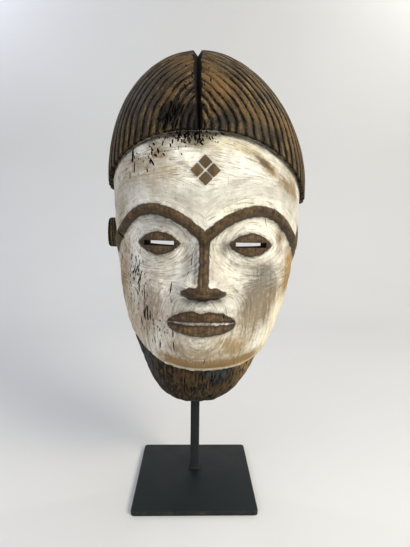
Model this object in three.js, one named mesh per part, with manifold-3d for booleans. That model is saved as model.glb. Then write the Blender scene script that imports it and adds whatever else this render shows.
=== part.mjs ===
// A white-faced Punu dance mask, carved hollow from one block of light wood, on a black steel stand.
// Millimetres, +Z up. The mask looks along -Y, and the origin is the middle of the plate's underside.
import * as THREE from "three";
import { mergeVertices } from "three/addons/utils/BufferGeometryUtils.js";
import Module from "manifold-3d";

// Stand: a flat plate, and a square bar whose top end is bent forward into the hollow of the mask.
const plateSide = 100;
const plateThickness = 4;
const plateCorner = 3;
const barSide = 8;
const barSetBack = 12; // the bar's axis stands this far behind the middle of the plate
const barInSight = 72; // from the plate's top to the mask's lowest point
const armReach = 36; // from the bar's front face to the arm's tip
const bendRadius = 6; // inside the bend between bar and arm
const restGap = 0.4; // between the mask and the steel that it rests on

// Mask: its outline from the front is an egg, with the broad end up.
const maskHeight = 284;
const widestHeight = 183; // above the lowest point
const faceHalfBreadth = 75.5;
const faceDepth = 95; // from the flat back to the forehead
const crownRoundness = { left: 2.05, right: 1.9 }; // of the hair; 2 is an ellipse, less is more pointed
const jawPointedness = 2;
const footRoundness = 2.3; // the same below the chin, where the block was left fuller
const foreheadReach = 70; // the face's own dome ends this far above the widest height, under the hair
const domeFullness = 2.5; // how square the section is, from side to side
const jawFullness = 4.5;
const bow = 6.5; // the middle line of the mask bows this much to one side
const yaw = THREE.MathUtils.degToRad(-2.3);
const roll = THREE.MathUtils.degToRad(0.7);

// Hollow
const sideWall = 22;
const endWall = 17; // at the top and the bottom
const frontWall = 15;

// Hair: two lobes of combed ridges, parted in the middle.
const hairlineHeight = 209; // at the parting
const hairlineDrop = { left: 22, right: 25 }; // degrees below level, from the parting to the rim
const hairThickness = 4; // the hair stands proud of the face at the sides
const hairRise = 4; // and of the forehead
const ridgesPerLobe = 19;
const ridgeHeight = 1.9;
const partingAside = -3.5; // from the middle line of the mask
const partingWidth = { hairline: 4, crown: 8 };
const partingDepth = { hairline: 7, crown: 3 };

// Face, on the drawing book's thirds from the hairline to the chin, five eyes wide
const chinHeight = 52;
const faceThird = (hairlineHeight - chinHeight) / 3;
const browHeight = hairlineHeight - faceThird;
const noseBaseHeight = chinHeight + faceThird;
const eyeHeight = browHeight - faceThird * 0.36;
const mouthHeight = noseBaseHeight - faceThird / 3;
const eyeWidth = (faceHalfBreadth * 2) / 5;
const eyeOut = eyeWidth; // from the middle line to the middle of an eye
const slitWidth = 27;
const slitHeight = 3.2;
const lozengeHeight = 184; // the forehead's scar pattern of four small squares
const lozengeSide = 6.2;
const lozengeGap = 1.1;
const lozengeRise = 1;
const jawStep = 2; // the bare band under the jaw lies this much behind the face
const jawRise = 44; // how far the band's upper edge climbs from the middle to the sides
const jawLean = 16; // and how much higher it ends on one side than on the other

// Ears
const earHeight = 24;
const earDepth = 14;
const earOut = { left: 7.5, right: 1.5 }; // proud of the side of the face, the right one worn flat
const earMiddle = 143;
const earSetForward = 15; // the ear's middle from the flat back
const conchaDepth = 3.5;

// How finely the curved forms are divided
const faceColumns = 48;
const faceRows = 60;
const faceMiddle = 112; // the height from which the face's sheet is spread
const hairSteps = 11; // from the parting to the hairline
const hollowDivisions = 16;

const wasm = await Module();
wasm.setup();

function solidOf(geometry) {
  const bare = geometry.clone();
  for (const name of Object.keys(bare.attributes)) {
    if (name !== "position") bare.deleteAttribute(name);
  }
  const merged = mergeVertices(bare, 1e-4);
  return new wasm.Manifold(
    new wasm.Mesh({
      numProp: 3,
      vertProperties: merged.attributes.position.array,
      triVerts: new Uint32Array(merged.index.array),
    }),
  );
}

function geometryOf(solid) {
  const mesh = solid.getMesh();
  const geometry = new THREE.BufferGeometry();
  geometry.setAttribute("position", new THREE.BufferAttribute(mesh.vertProperties, 3));
  geometry.setIndex(new THREE.BufferAttribute(mesh.triVerts, 1));
  const flat = geometry.toNonIndexed();
  flat.computeVertexNormals();
  return flat;
}

const clamp01 = (value) => Math.min(1, Math.max(0, value));

// 0 before start, 1 after end, smooth between; start may be above end
function ease(start, end, value) {
  const t = clamp01((value - start) / (end - start));
  return t * t * (3 - 2 * t);
}

const swell = (x, z, middleX, middleZ, spreadX, spreadZ) =>
  Math.exp(-(((x - middleX) / spreadX) ** 2) - ((z - middleZ) / spreadZ) ** 2);

// How far out a place lies on the front view, from 0 in the middle to 1 on an egg-shaped outline.
function eggShare(egg, x, z) {
  const above = z > widestHeight;
  const topPower = x < 0 ? egg.topPower.left : egg.topPower.right;
  const lowPower = THREE.MathUtils.lerp(egg.bottomPower, footRoundness, ease(chinHeight, 0, z));
  const n = above ? topPower : lowPower;
  const reach = above ? egg.topReach : egg.bottomReach;
  const across = Math.abs(x) / egg.halfBreadth;
  const along = Math.abs(z - widestHeight) / reach;
  return (across ** n + along ** n) ** (1 / n);
}

// The distance from a start inside an egg to the place where its share is reached, along a direction
function reachIn(egg, startX, startZ, directionX, directionZ, share) {
  let near = 0;
  let far = maskHeight * 2;
  for (let i = 0; i < 40; i += 1) {
    const middle = (near + far) / 2;
    const there = eggShare(egg, startX + directionX * middle, startZ + directionZ * middle);
    if (there < share) near = middle;
    else far = middle;
  }
  return (near + far) / 2;
}

// The dome over an egg: how far forward of the flat back it stands
function domeDepth(egg, x, z) {
  const share = Math.min(1, eggShare(egg, x, z));
  const fullness = THREE.MathUtils.lerp(
    domeFullness,
    jawFullness,
    ease(noseBaseHeight + faceThird / 2, chinHeight, z),
  );
  return egg.depth * Math.sqrt(Math.max(0, 1 - share ** fullness));
}

const faceEgg = {
  halfBreadth: faceHalfBreadth,
  topReach: foreheadReach,
  bottomReach: widestHeight,
  topPower: { left: 2, right: 2 },
  bottomPower: jawPointedness,
  depth: faceDepth,
};
const hairEgg = {
  halfBreadth: faceHalfBreadth + hairThickness,
  topReach: maskHeight - widestHeight,
  bottomReach: widestHeight + hairThickness,
  topPower: crownRoundness,
  bottomPower: jawPointedness,
  depth: faceDepth + hairRise,
};
const hollowEgg = {
  halfBreadth: faceHalfBreadth - sideWall,
  topReach: maskHeight - widestHeight - endWall,
  bottomReach: widestHeight - endWall,
  topPower: { left: 2, right: 2 },
  bottomPower: 2,
  depth: faceDepth - frontWall,
};

// Even steps from 0 to 1 made closer towards 1, where a dome turns down steeply
const closer = (t, strength) => THREE.MathUtils.lerp(t, Math.sin((t * Math.PI) / 2), strength);

// A square sheet laid over an egg's dome and spread from the given height; u and v run from -1 to 1.
function sheetOver(egg, middleHeight, u, v) {
  const discX = u * Math.sqrt(1 - (v * v) / 2);
  const discZ = v * Math.sqrt(1 - (u * u) / 2);
  const radius = Math.min(1, Math.hypot(discX, discZ));
  if (radius < 1e-9) return new THREE.Vector3(0, -domeDepth(egg, 0, middleHeight), middleHeight);
  const reach = discZ > 0 ? widestHeight + egg.topReach - middleHeight : middleHeight;
  const toward = new THREE.Vector2(discX * egg.halfBreadth, discZ * reach).normalize();
  const run = reachIn(egg, 0, middleHeight, toward.x, toward.y, 1) * closer(radius, 0.4);
  const x = toward.x * run;
  const z = middleHeight + toward.y * run;
  return new THREE.Vector3(x, radius >= 1 ? 0 : -domeDepth(egg, x, z), z);
}

// A point of a curved sheet moved out along the sheet's own normal
function raise(sheet, u, v, relief) {
  const step = 1e-3;
  const at = sheet(u, v);
  const du = sheet(Math.min(1, u + step), v).sub(sheet(Math.max(-1, u - step), v));
  const dv = sheet(u, Math.min(1, v + step)).sub(sheet(u, Math.max(-1, v - step)));
  const normal = du.cross(dv).normalize();
  if (normal.lengthSq() < 0.5) return at;
  return at.addScaledVector(normal, relief);
}

// Every form runs on this far past the flat back, where the whole mask is sawn off at the end.
const sawMargin = 6;

// A closed solid between a front sheet of points[row][column] and a flat behind the back. Each four-sided
// field is split along the diagonal that passes nearer to the true middle of the field.
function closedSheet(front, middles) {
  const rows = front.length - 1;
  const columns = front[0].length - 1;
  const corners = [];
  const quad = (a, b, c, d) => corners.push(a, b, c, a, c, d);
  for (let r = 0; r < rows; r += 1) {
    for (let c = 0; c < columns; c += 1) {
      const [a, b, d, e] = [front[r][c], front[r][c + 1], front[r + 1][c + 1], front[r + 1][c]];
      const missBy = (p, q) => p.clone().lerp(q, 0.5).distanceTo(middles[r][c]);
      if (missBy(a, d) <= missBy(b, e)) quad(a, b, d, e);
      else quad(b, d, e, a);
    }
  }
  const rim = [];
  for (let c = 0; c < columns; c += 1) rim.push(front[0][c]);
  for (let r = 0; r < rows; r += 1) rim.push(front[r][columns]);
  for (let c = columns; c > 0; c -= 1) rim.push(front[rows][c]);
  for (let r = rows; r > 0; r -= 1) rim.push(front[r][0]);
  const middle = new THREE.Vector3(0, sawMargin, widestHeight);
  rim.forEach((a, i) => {
    const b = rim[(i + 1) % rim.length];
    const backA = new THREE.Vector3(a.x, sawMargin, a.z);
    const backB = new THREE.Vector3(b.x, sawMargin, b.z);
    quad(a, backA, backB, b);
    corners.push(backB, backA, middle);
  });
  const kept = [];
  for (let i = 0; i < corners.length; i += 3) {
    const [a, b, c] = corners.slice(i, i + 3);
    const area = b.clone().sub(a).cross(c.clone().sub(a)).length();
    if (area > 1e-9) kept.push(a, b, c);
  }
  return new THREE.BufferGeometry().setFromPoints(kept);
}

// The upper edge of the bare band under the jaw, seen from the front
function jawEdge(x) {
  const across = x / faceHalfBreadth;
  return chinHeight + jawRise * Math.abs(across) ** 2.6 - jawLean * across * Math.abs(across);
}

// The carving of the face, in millimetres above its dome; it is the same on both sides.
function faceRelief(x, z) {
  const out = Math.abs(x);

  // brows: two arcs that meet on the bridge of the nose, over hollow orbits
  const archTop = browHeight + faceThird * 0.06;
  const bridgeHeight = archTop - 0.36 * faceThird;
  const archMiddle = eyeOut * 1.22;
  const across = (out - archMiddle) / (out < archMiddle ? archMiddle : eyeOut * 1.15);
  const fall = (out < archMiddle ? 0.36 : 0.62) * faceThird;
  const slope = (-2 * fall * across) / archMiddle;
  const fromArch = (z - archTop + fall * across * across) / Math.hypot(1, slope);
  const browEnds = ease(eyeOut * 2.4, eyeOut * 2.1, out);
  const brow = 2.6 * Math.exp(-((fromArch / 3.2) ** 2)) * browEnds;
  const socket = Math.hypot((out - eyeOut * 1.12) / (eyeOut * 1.05), (z - eyeHeight) / (faceThird * 0.52));
  const orbit = -4.5 * ease(1.15, 0.6, socket) * ease(1, -5, fromArch);

  // eyes: an eyeball under almond lids
  const eyeball = 4.5 * swell(out, z, eyeOut, eyeHeight, eyeWidth * 0.62, eyeWidth * 0.42);
  const along = Math.abs(out - eyeOut) / (eyeWidth * 0.52);
  const lidHalf = eyeWidth * 0.27 * Math.max(0, 1 - along ** 2);
  const lid = 2 * ease(1.5, -1, Math.abs(z - eyeHeight) - lidHalf) * ease(1.15, 0.8, along);

  // nose: a ridge that widens and rises down to the tip, and two wings
  const down = clamp01((browHeight - z) / (browHeight - noseBaseHeight));
  const bridge = (2.5 + 12.5 * down ** 1.3) * Math.exp(-((out / (4 + 4.5 * down)) ** 2));
  const wing = 8 * swell(out, z, eyeWidth * 0.33, noseBaseHeight + 6, 5.5, 6.5);
  const noseEnd = ease(noseBaseHeight - 2, noseBaseHeight + 2.5, z);
  const noseStart = ease(bridgeHeight + 3, bridgeHeight - 14, z);
  const nose = bridge * noseEnd * noseStart + wing * noseEnd;

  // mouth: closed full lips on a slight muzzle
  const mouthHalf = eyeWidth * 0.75;
  const muzzle = 4.5 * swell(x, z, 0, mouthHeight, 30, 21);
  const lipRun = Math.sqrt(Math.max(0, 1 - (x / mouthHalf) ** 2));
  const upperTop = 8.5 * lipRun - 1.6 * Math.exp(-((x / 4) ** 2));
  const lowerEnd = 9.5 * lipRun;
  const off = z - mouthHeight;
  const lipHeight = off > 0 ? upperTop : lowerEnd;
  const lip = 4.2 * Math.sqrt(lipRun) * ease(lipHeight + 1.2, lipHeight * 0.45, Math.abs(off));
  const lipLine = -2.4 * Math.exp(-((off / 1.7) ** 2)) * ease(mouthHalf + 1, mouthHalf - 5, out);

  // cheeks and chin, and the step down to the band under the jaw
  const cheek = 2.5 * swell(out, z, eyeOut * 1.35, noseBaseHeight + 6, 22, 24);
  const chin = 3.5 * swell(x, z, 0, chinHeight + 13, 20, 12);
  const band = -jawStep * ease(0.5, 3.5, jawEdge(x) - z);

  return brow + orbit + eyeball + lid + nose + muzzle + lip + lipLine + cheek + chin + band;
}

// Moves the even divisions of the sheet towards its middle, where the carving is
const crowd = (t, strength) => t * (1 - strength + strength * t * t);

// A closed solid over an egg, with the given relief, from a sheet of columns by rows
function domedSolid(egg, middleHeight, columns, rows, crowding, relief) {
  const sheet = (u, v) => sheetOver(egg, middleHeight, u, v);
  const pointAt = (column, row) => {
    const u = crowd((2 * column) / columns - 1, crowding);
    const v = crowd((2 * row) / rows - 1, crowding);
    const at = sheet(u, v);
    const onRim = Math.abs(u) === 1 || Math.abs(v) === 1;
    return onRim ? at : raise(sheet, u, v, relief(at.x, at.z));
  };
  const grid = (columnCount, rowCount, shift) =>
    Array.from({ length: rowCount }, (_, r) =>
      Array.from({ length: columnCount }, (__, c) => pointAt(c + shift, r + shift)),
    );
  return solidOf(closedSheet(grid(columns + 1, rows + 1, 0), grid(columns, rows, 0.5)));
}

// The hair's sheet in polar steps round the parting's lower end: side runs from -1 at the left end of
// the hairline over 0 at the parting to 1 at the right end, out from 0 at that end to 1 at the rim.
// The inner rings are tall and pointed arches, and towards the rim they take on the crown's outline.
function hairPoint(side, out) {
  const share = closer(out, 0.8);
  const drop = THREE.MathUtils.degToRad(side < 0 ? hairlineDrop.left : hairlineDrop.right);
  const angle = side * (Math.PI / 2 + drop * share ** 2);
  const directionX = Math.sin(angle);
  const directionZ = Math.cos(angle);
  const turn = Math.min(Math.PI / 2, Math.abs(angle));
  const pointed = 1 - 0.24 * (1 - share) * Math.sin(2 * turn) * Math.cos(turn);
  const arch = share ** (0.8 + (0.45 * turn) / (Math.PI / 2)) * pointed;
  const run = arch * reachIn(hairEgg, partingAside, hairlineHeight, directionX, directionZ, 1);
  const x = partingAside + directionX * run;
  const z = hairlineHeight + directionZ * run;
  return new THREE.Vector3(x, out >= 1 ? 0 : -domeDepth(hairEgg, x, z), z);
}

function makeHair() {
  const rings = ridgesPerLobe * 2;
  const spokes = hairSteps * 2;
  const front = [];
  for (let i = 1; i <= rings; i += 1) {
    const out = i / rings;
    const row = [];
    for (let j = 0; j <= spokes; j += 1) {
      const side = (2 * j) / spokes - 1;
      const valley = i % 2 === 0 && i < rings ? -ridgeHeight : 0;
      row.push(raise((s, o) => hairPoint(s, Math.max(0, o)), side, out, valley));
      if (i === rings) row[j].y = 0;
    }
    front.push(row);
  }
  const tip = hairPoint(0, 0);
  const back = (p) => new THREE.Vector3(p.x, sawMargin, p.z);
  const corners = [];
  const quad = (a, b, c, d) => corners.push(a, b, c, a, c, d);
  front.push(front[rings - 1].map(back));
  for (let j = 0; j < spokes; j += 1) {
    corners.push(tip, front[0][j + 1], front[0][j]);
    corners.push(back(tip), back(front[0][j]), back(front[0][j + 1]));
    for (let i = 0; i < rings; i += 1) {
      const [a, b, c, d] = [front[i][j], front[i][j + 1], front[i + 1][j + 1], front[i + 1][j]];
      quad(a, b, c, d);
      quad(back(d), back(c), back(b), back(a));
    }
  }
  for (const j of [0, spokes]) {
    const edge = [tip, ...front.map((row) => row[j])];
    for (let i = 0; i < edge.length - 1; i += 1) {
      const [a, b] = j === 0 ? [edge[i], edge[i + 1]] : [edge[i + 1], edge[i]];
      quad(a, b, back(b), back(a));
    }
  }
  const kept = [];
  for (let i = 0; i < corners.length; i += 3) {
    const [a, b, c] = corners.slice(i, i + 3);
    if (b.clone().sub(a).cross(c.clone().sub(a)).length() > 1e-9) kept.push(a, b, c);
  }
  return solidOf(new THREE.BufferGeometry().setFromPoints(kept));
}

// The parting: a V-shaped groove that follows the crown from the hairline to the back
function makeParting() {
  const steps = 14;
  const sections = [];
  const addSection = (at, inward, share) => {
    const width = THREE.MathUtils.lerp(partingWidth.hairline, partingWidth.crown, share);
    const depth = THREE.MathUtils.lerp(partingDepth.hairline, partingDepth.crown, share);
    const half = (width / 2) * (1 + (2 * hairRise) / depth);
    const lip = at.clone().addScaledVector(inward, -2 * hairRise);
    sections.push([
      new THREE.Vector3(partingAside - half, lip.y, lip.z),
      new THREE.Vector3(partingAside + half, lip.y, lip.z),
      at.clone().addScaledVector(inward, depth),
    ]);
  };
  const start = hairPoint(0, 0);
  addSection(start.clone().setZ(start.z - partingDepth.hairline), new THREE.Vector3(0, 1, 0), 0);
  for (let i = 0; i < steps; i += 1) {
    const ahead = hairPoint(0, (i + 0.5) / steps);
    const behind = hairPoint(0, Math.max(0, (i - 0.5) / steps));
    const along = ahead.sub(behind).normalize();
    addSection(hairPoint(0, i / steps), new THREE.Vector3(0, along.z, -along.y), i / steps);
  }
  addSection(hairPoint(0, 1), new THREE.Vector3(0, 0, -1), 1);
  addSection(hairPoint(0, 1).setY(sawMargin * 2), new THREE.Vector3(0, 0, -1), 1);
  const corners = [];
  const quad = (a, b, c, d) => corners.push(a, b, c, a, c, d);
  const last = sections.length - 1;
  for (let i = 0; i < last; i += 1) {
    for (let k = 0; k < 3; k += 1) {
      const next = (k + 1) % 3;
      quad(sections[i][k], sections[i][next], sections[i + 1][next], sections[i + 1][k]);
    }
  }
  corners.push(...[...sections[0]].reverse());
  corners.push(...sections[last]);
  return solidOf(new THREE.BufferGeometry().setFromPoints(corners));
}

// An almond-ended slit that goes right through the lids
function makeSlit(side) {
  const shape = new THREE.Shape();
  const end = slitWidth / 2;
  const half = slitHeight / 2;
  shape.moveTo(-end, 0);
  shape.lineTo(-end + slitHeight, -half);
  shape.lineTo(end - slitHeight, -half);
  shape.lineTo(end, 0);
  shape.lineTo(end - slitHeight, half);
  shape.lineTo(-end + slitHeight, half);
  const through = new THREE.ExtrudeGeometry(shape, { depth: faceDepth, bevelEnabled: false });
  through.rotateX(Math.PI / 2);
  through.translate(side * eyeOut, -faceDepth / 3, eyeHeight);
  return solidOf(through);
}

// One of the four raised squares, standing on its corner
function makeLozenge(alongRight, alongLeft) {
  const pitch = (lozengeSide + lozengeGap) / 2;
  const x = (alongRight - alongLeft) * pitch * Math.SQRT1_2;
  const z = lozengeHeight + (alongRight + alongLeft) * pitch * Math.SQRT1_2;
  const sunk = 6;
  const box = new THREE.BoxGeometry(lozengeSide, sunk + lozengeRise, lozengeSide);
  box.rotateY(Math.PI / 4);
  box.translate(x, -domeDepth(faceEgg, x, z) + (sunk - lozengeRise) / 2, z);
  return solidOf(box);
}

// A small C-shaped ear: an upright oval with a hollowed concha
function makeEar(side, proud) {
  const outline = new THREE.Shape();
  outline.absellipse(0, 0, earDepth / 2, earHeight / 2, 0, Math.PI * 2);
  const into = 14; // hidden in the side of the head
  const oval = new THREE.ExtrudeGeometry(outline, {
    depth: into + proud - 2,
    bevelThickness: 2,
    bevelSize: 2,
    bevelOffset: -2,
    bevelSegments: 2,
    curveSegments: 8,
  });
  const concha = new THREE.Shape();
  concha.absellipse(-earDepth * 0.12, 0, earDepth * 0.24, earHeight * 0.3, 0, Math.PI * 2);
  const pit = new THREE.ExtrudeGeometry(concha, { depth: 10, bevelEnabled: false, curveSegments: 6 });
  const sideways = new THREE.Matrix4().makeBasis(
    new THREE.Vector3(0, side, 0),
    new THREE.Vector3(0, 0, 1),
    new THREE.Vector3(side, 0, 0),
  );
  const reach = reachIn(faceEgg, 0, earMiddle, 1, 0, 1);
  const surfaceX = reach * Math.sqrt(Math.max(0, 1 - (earSetForward / faceDepth) ** 2));
  const place = (geometry, startX) => {
    geometry.applyMatrix4(sideways);
    geometry.translate(side * startX, -earSetForward, earMiddle);
    return solidOf(geometry);
  };
  return place(oval, surfaceX - into).subtract(place(pit, surfaceX + proud - conchaDepth));
}

function makeMask() {
  let mask = domedSolid(faceEgg, faceMiddle, faceColumns, faceRows, 0.2, faceRelief);
  const hollow = domedSolid(hollowEgg, widestHeight, hollowDivisions, hollowDivisions, 0, () => 0);
  mask = mask.add(makeHair());
  mask = mask.add(makeEar(-1, earOut.left)).add(makeEar(1, earOut.right));
  for (const alongRight of [-1, 1]) {
    for (const alongLeft of [-1, 1]) mask = mask.add(makeLozenge(alongRight, alongLeft));
  }
  mask = mask.subtract(makeParting()).subtract(hollow);
  for (const side of [-1, 1]) mask = mask.subtract(makeSlit(side));
  mask = mask.trimByPlane([0, -1, 0], 0);
  const bodies = mask.decompose().sort((a, b) => b.volume() - a.volume());
  const geometry = geometryOf(bodies[0]);
  const places = geometry.attributes.position;
  for (let i = 0; i < places.count; i += 1) {
    const z = places.getZ(i);
    places.setX(i, places.getX(i) + bow * Math.sin((Math.PI * clamp01(z / maskHeight))));
  }
  geometry.computeVertexNormals();
  return geometry;
}

function makePlate() {
  const half = plateSide / 2;
  const inner = half - plateCorner;
  const outline = new THREE.Shape();
  outline.absarc(inner, inner, plateCorner, 0, Math.PI / 2);
  outline.absarc(-inner, inner, plateCorner, Math.PI / 2, Math.PI);
  outline.absarc(-inner, -inner, plateCorner, Math.PI, Math.PI * 1.5);
  outline.absarc(inner, -inner, plateCorner, Math.PI * 1.5, Math.PI * 2);
  return new THREE.ExtrudeGeometry(outline, {
    depth: plateThickness,
    bevelEnabled: false,
    curveSegments: 5,
  });
}

// Where the arm's tip meets the roof of the hollow, in the mask's own frame
function armTop() {
  const tip = armReach - restGap;
  let low = widestHeight;
  let high = maskHeight;
  for (let i = 0; i < 40; i += 1) {
    const middle = (low + high) / 2;
    if (domeDepth(hollowEgg, barSide, middle) > tip) low = middle;
    else high = middle;
  }
  return low - restGap;
}

// The bar and its arm in one side view, from the foot up, extruded across the bar's width
function makeBar(topHeight) {
  const foot = plateThickness;
  const front = -barSide / 2;
  const outer = bendRadius + barSide;
  const outline = new THREE.Shape();
  outline.moveTo(-front, foot);
  outline.lineTo(-front, topHeight - outer);
  outline.absarc(front - bendRadius, topHeight - outer, outer, 0, Math.PI / 2);
  outline.lineTo(front - armReach, topHeight);
  outline.lineTo(front - armReach, topHeight - barSide);
  outline.lineTo(front - bendRadius, topHeight - barSide);
  outline.absarc(front - bendRadius, topHeight - outer, bendRadius, Math.PI / 2, 0, true);
  outline.lineTo(front, foot);
  const bar = new THREE.ExtrudeGeometry(outline, {
    depth: barSide,
    bevelEnabled: false,
    curveSegments: 6,
  });
  bar.translate(0, 0, -barSide / 2);
  bar.applyMatrix4(
    new THREE.Matrix4().makeBasis(
      new THREE.Vector3(0, 1, 0),
      new THREE.Vector3(0, 0, 1),
      new THREE.Vector3(1, 0, 0),
    ),
  );
  bar.translate(0, barSetBack, 0);
  return bar;
}

const whitenedWood = new THREE.MeshStandardMaterial({
  color: "#cfc6b4",
  roughness: 0.85,
  metalness: 0,
});
const blackSteel = new THREE.MeshStandardMaterial({
  color: "#23292b",
  roughness: 0.5,
  metalness: 0.4,
});

function named(name, geometry, material) {
  const mesh = new THREE.Mesh(geometry, material);
  mesh.name = name;
  return mesh;
}

const maskFoot = plateThickness + barInSight;
const maskBack = barSetBack - barSide / 2 - restGap - (barSide / 2) * Math.sin(Math.abs(yaw));

const maskOnStand = new THREE.Group();
maskOnStand.position.set(0, maskBack, maskFoot);
maskOnStand.rotation.set(0, roll, yaw, "ZYX");
maskOnStand.add(named("mask", makeMask(), whitenedWood));

const displayedMask = new THREE.Group();
displayedMask.add(named("stand_plate", makePlate(), blackSteel));
displayedMask.add(named("stand_bar", makeBar(maskFoot + armTop()), blackSteel));
displayedMask.add(maskOnStand);

export default displayedMask;
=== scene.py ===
import math
import random

import bmesh
import bpy
import numpy as np
from mathutils import Matrix, Vector


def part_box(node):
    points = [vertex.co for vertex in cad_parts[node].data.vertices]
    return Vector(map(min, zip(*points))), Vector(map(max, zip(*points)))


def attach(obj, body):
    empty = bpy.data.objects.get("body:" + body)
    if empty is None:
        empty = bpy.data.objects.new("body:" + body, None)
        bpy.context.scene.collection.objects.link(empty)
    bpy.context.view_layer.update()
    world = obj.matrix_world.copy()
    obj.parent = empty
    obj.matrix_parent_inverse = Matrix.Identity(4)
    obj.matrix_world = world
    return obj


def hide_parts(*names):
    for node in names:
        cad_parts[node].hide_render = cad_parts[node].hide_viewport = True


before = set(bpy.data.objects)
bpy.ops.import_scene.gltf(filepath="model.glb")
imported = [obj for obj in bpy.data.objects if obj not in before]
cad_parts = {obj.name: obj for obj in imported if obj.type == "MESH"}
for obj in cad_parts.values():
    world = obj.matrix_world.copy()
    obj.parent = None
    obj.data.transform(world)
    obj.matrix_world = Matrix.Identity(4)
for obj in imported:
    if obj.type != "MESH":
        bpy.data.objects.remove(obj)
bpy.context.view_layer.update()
mm = 0.001  # in metres

# The mask's own frame is in millimetres: x to the viewer's right, z up from its lowest point,
# and y = 0 at the flat back, with the face towards -y. These sizes repeat those of the solids.
maskForm = {
    "height": 284,
    "widestHeight": 183,
    "faceHalfBreadth": 75.5,
    "faceDepth": 95,
    "crownPower": (2.05, 1.9),  # roundness of the left and the right lobe
    "jawPower": 2,
    "footPower": 2.3,  # the same below the chin, where the block was left fuller
    "foreheadReach": 70,
    "domeFullness": 2.5,
    "jawFullness": 4.5,
    "bow": 6.5,  # how far the middle line bows to one side
    "yaw": -2.3,  # degrees
    "roll": 0.7,
    "foot": 76,  # the lowest point above the table
    "back": 7.44,  # the flat back behind the middle of the plate
    "sawMargin": 6,
    "faceMiddle": 112,
    "crowding": 0.4,  # how much closer the mesh's rows lie towards the rim
    "columns": 208,
    "rows": 264,
}

hairForm = {
    "hairline": 209,
    "dropLeft": 22,  # degrees below level, from the parting to the rim
    "dropRight": 25,
    "thickness": 4,
    "rise": 4,
    "ridges": 19,
    "ridgeHeight": 1.9,
    "partingAside": -3.5,
    "partingNarrow": 4,
    "partingWide": 8,
    "partingDeep": 7,
    "partingShallow": 3,
    "crowding": 0.8,  # how much closer the ridges lie towards the rim
    "rings": 132,
    "spokes": 128,
}

faceForm = {
    "chin": 52,
    "slitWidth": 27,
    "slitHeight": 3.2,
    "lozengeHeight": 184,
    "lozengeSide": 6.2,
    "lozengeGap": 1.1,
    "lozengeRise": 1,
    "lozengeSunk": 3,  # how deep they go into the wood
    "lozengeEdge": 0.4,
    "jawStep": 2,
    "jawRise": 44,
    "jawLean": 16,
}

hollowForm = {
    "sideWall": 22,
    "endWall": 17,
    "frontWall": 15,
    "divisions": 64,
}

third = (hairForm["hairline"] - faceForm["chin"]) / 3
browHeight = hairForm["hairline"] - third
noseBase = faceForm["chin"] + third
eyeHeight = browHeight - third * 0.36
mouthHeight = noseBase - third / 3
eyeWidth = maskForm["faceHalfBreadth"] * 2 / 5
eyeOut = eyeWidth
mouthHalf = eyeWidth * 0.75
browTop = browHeight + third * 0.06
browInnerFall = 0.36  # of a third, from the top of the arch to the nose
browOuterFall = 0.62


def ease(start, end, value):
    # 0 up to the start and 1 from the end on, with a soft step between; it runs either way
    t = np.clip((value - start) / (end - start), 0, 1)
    return t * t * (3 - 2 * t)


def bell(value, width):
    return np.exp(-((value / width) ** 2))


def swell(x, z, middleX, middleZ, spreadX, spreadZ):
    # A soft round mound, 1 high in the middle
    return np.exp(-(((x - middleX) / spreadX) ** 2) - ((z - middleZ) / spreadZ) ** 2)


def makeEgg(half, top, bottom, topPower, bottomPower, depth):
    return {"half": half, "top": top, "bottom": bottom, "topPower": topPower,
            "bottomPower": bottomPower, "depth": depth}


widest = maskForm["widestHeight"]
faceEgg = makeEgg(maskForm["faceHalfBreadth"], maskForm["foreheadReach"], widest, (2, 2),
                  maskForm["jawPower"], maskForm["faceDepth"])
hairEgg = makeEgg(maskForm["faceHalfBreadth"] + hairForm["thickness"], maskForm["height"] - widest,
                  widest + hairForm["thickness"], maskForm["crownPower"], maskForm["jawPower"],
                  maskForm["faceDepth"] + hairForm["rise"])
hollowEgg = makeEgg(maskForm["faceHalfBreadth"] - hollowForm["sideWall"],
                    maskForm["height"] - widest - hollowForm["endWall"],
                    widest - hollowForm["endWall"], (2, 2), 2,
                    maskForm["faceDepth"] - hollowForm["frontWall"])


def eggShare(egg, x, z):
    # 0 in the middle of the egg and 1 on its outline
    above = z > widest
    crown = np.where(x < 0, egg["topPower"][0], egg["topPower"][1])
    footMore = maskForm["footPower"] - egg["bottomPower"]
    low = egg["bottomPower"] + footMore * ease(faceForm["chin"], 0, z)
    power = np.where(above, crown, low)
    reach = np.where(above, egg["top"], egg["bottom"])
    across = np.abs(x) / egg["half"]
    along = np.abs(z - widest) / reach
    return (across ** power + along ** power) ** (1 / power)


def searchUp(isBelow, like, most, steps):
    # Halves the way from 0 to the most at every place at once, down to where isBelow turns false
    low, high = np.zeros_like(like), np.full_like(like, most)
    for _ in range(steps):
        middle = (low + high) / 2
        below = isBelow(middle)
        low, high = np.where(below, middle, low), np.where(below, high, middle)
    return (low + high) / 2


def rimDistance(egg, startX, startZ, towardX, towardZ):
    # How far it is from the start to the outline, in this direction
    def inside(run):
        return eggShare(egg, startX + towardX * run, startZ + towardZ * run) < 1

    return searchUp(inside, towardX, maskForm["height"] * 2.0, 36)


def domeDepth(egg, x, z):
    # How far the front of the block stands before the flat back
    share = np.minimum(1, eggShare(egg, x, z))
    jaw = ease(noseBase + third / 2, faceForm["chin"], z)
    fullness = maskForm["domeFullness"] + (maskForm["jawFullness"] - maskForm["domeFullness"]) * jaw
    return egg["depth"] * np.sqrt(np.maximum(0, 1 - share ** fullness))


def closer(t, strength):
    # Moves rows that are evenly spaced from 0 to 1 closer together towards 1
    return t + (np.sin(t * np.pi / 2) - t) * strength


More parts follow.
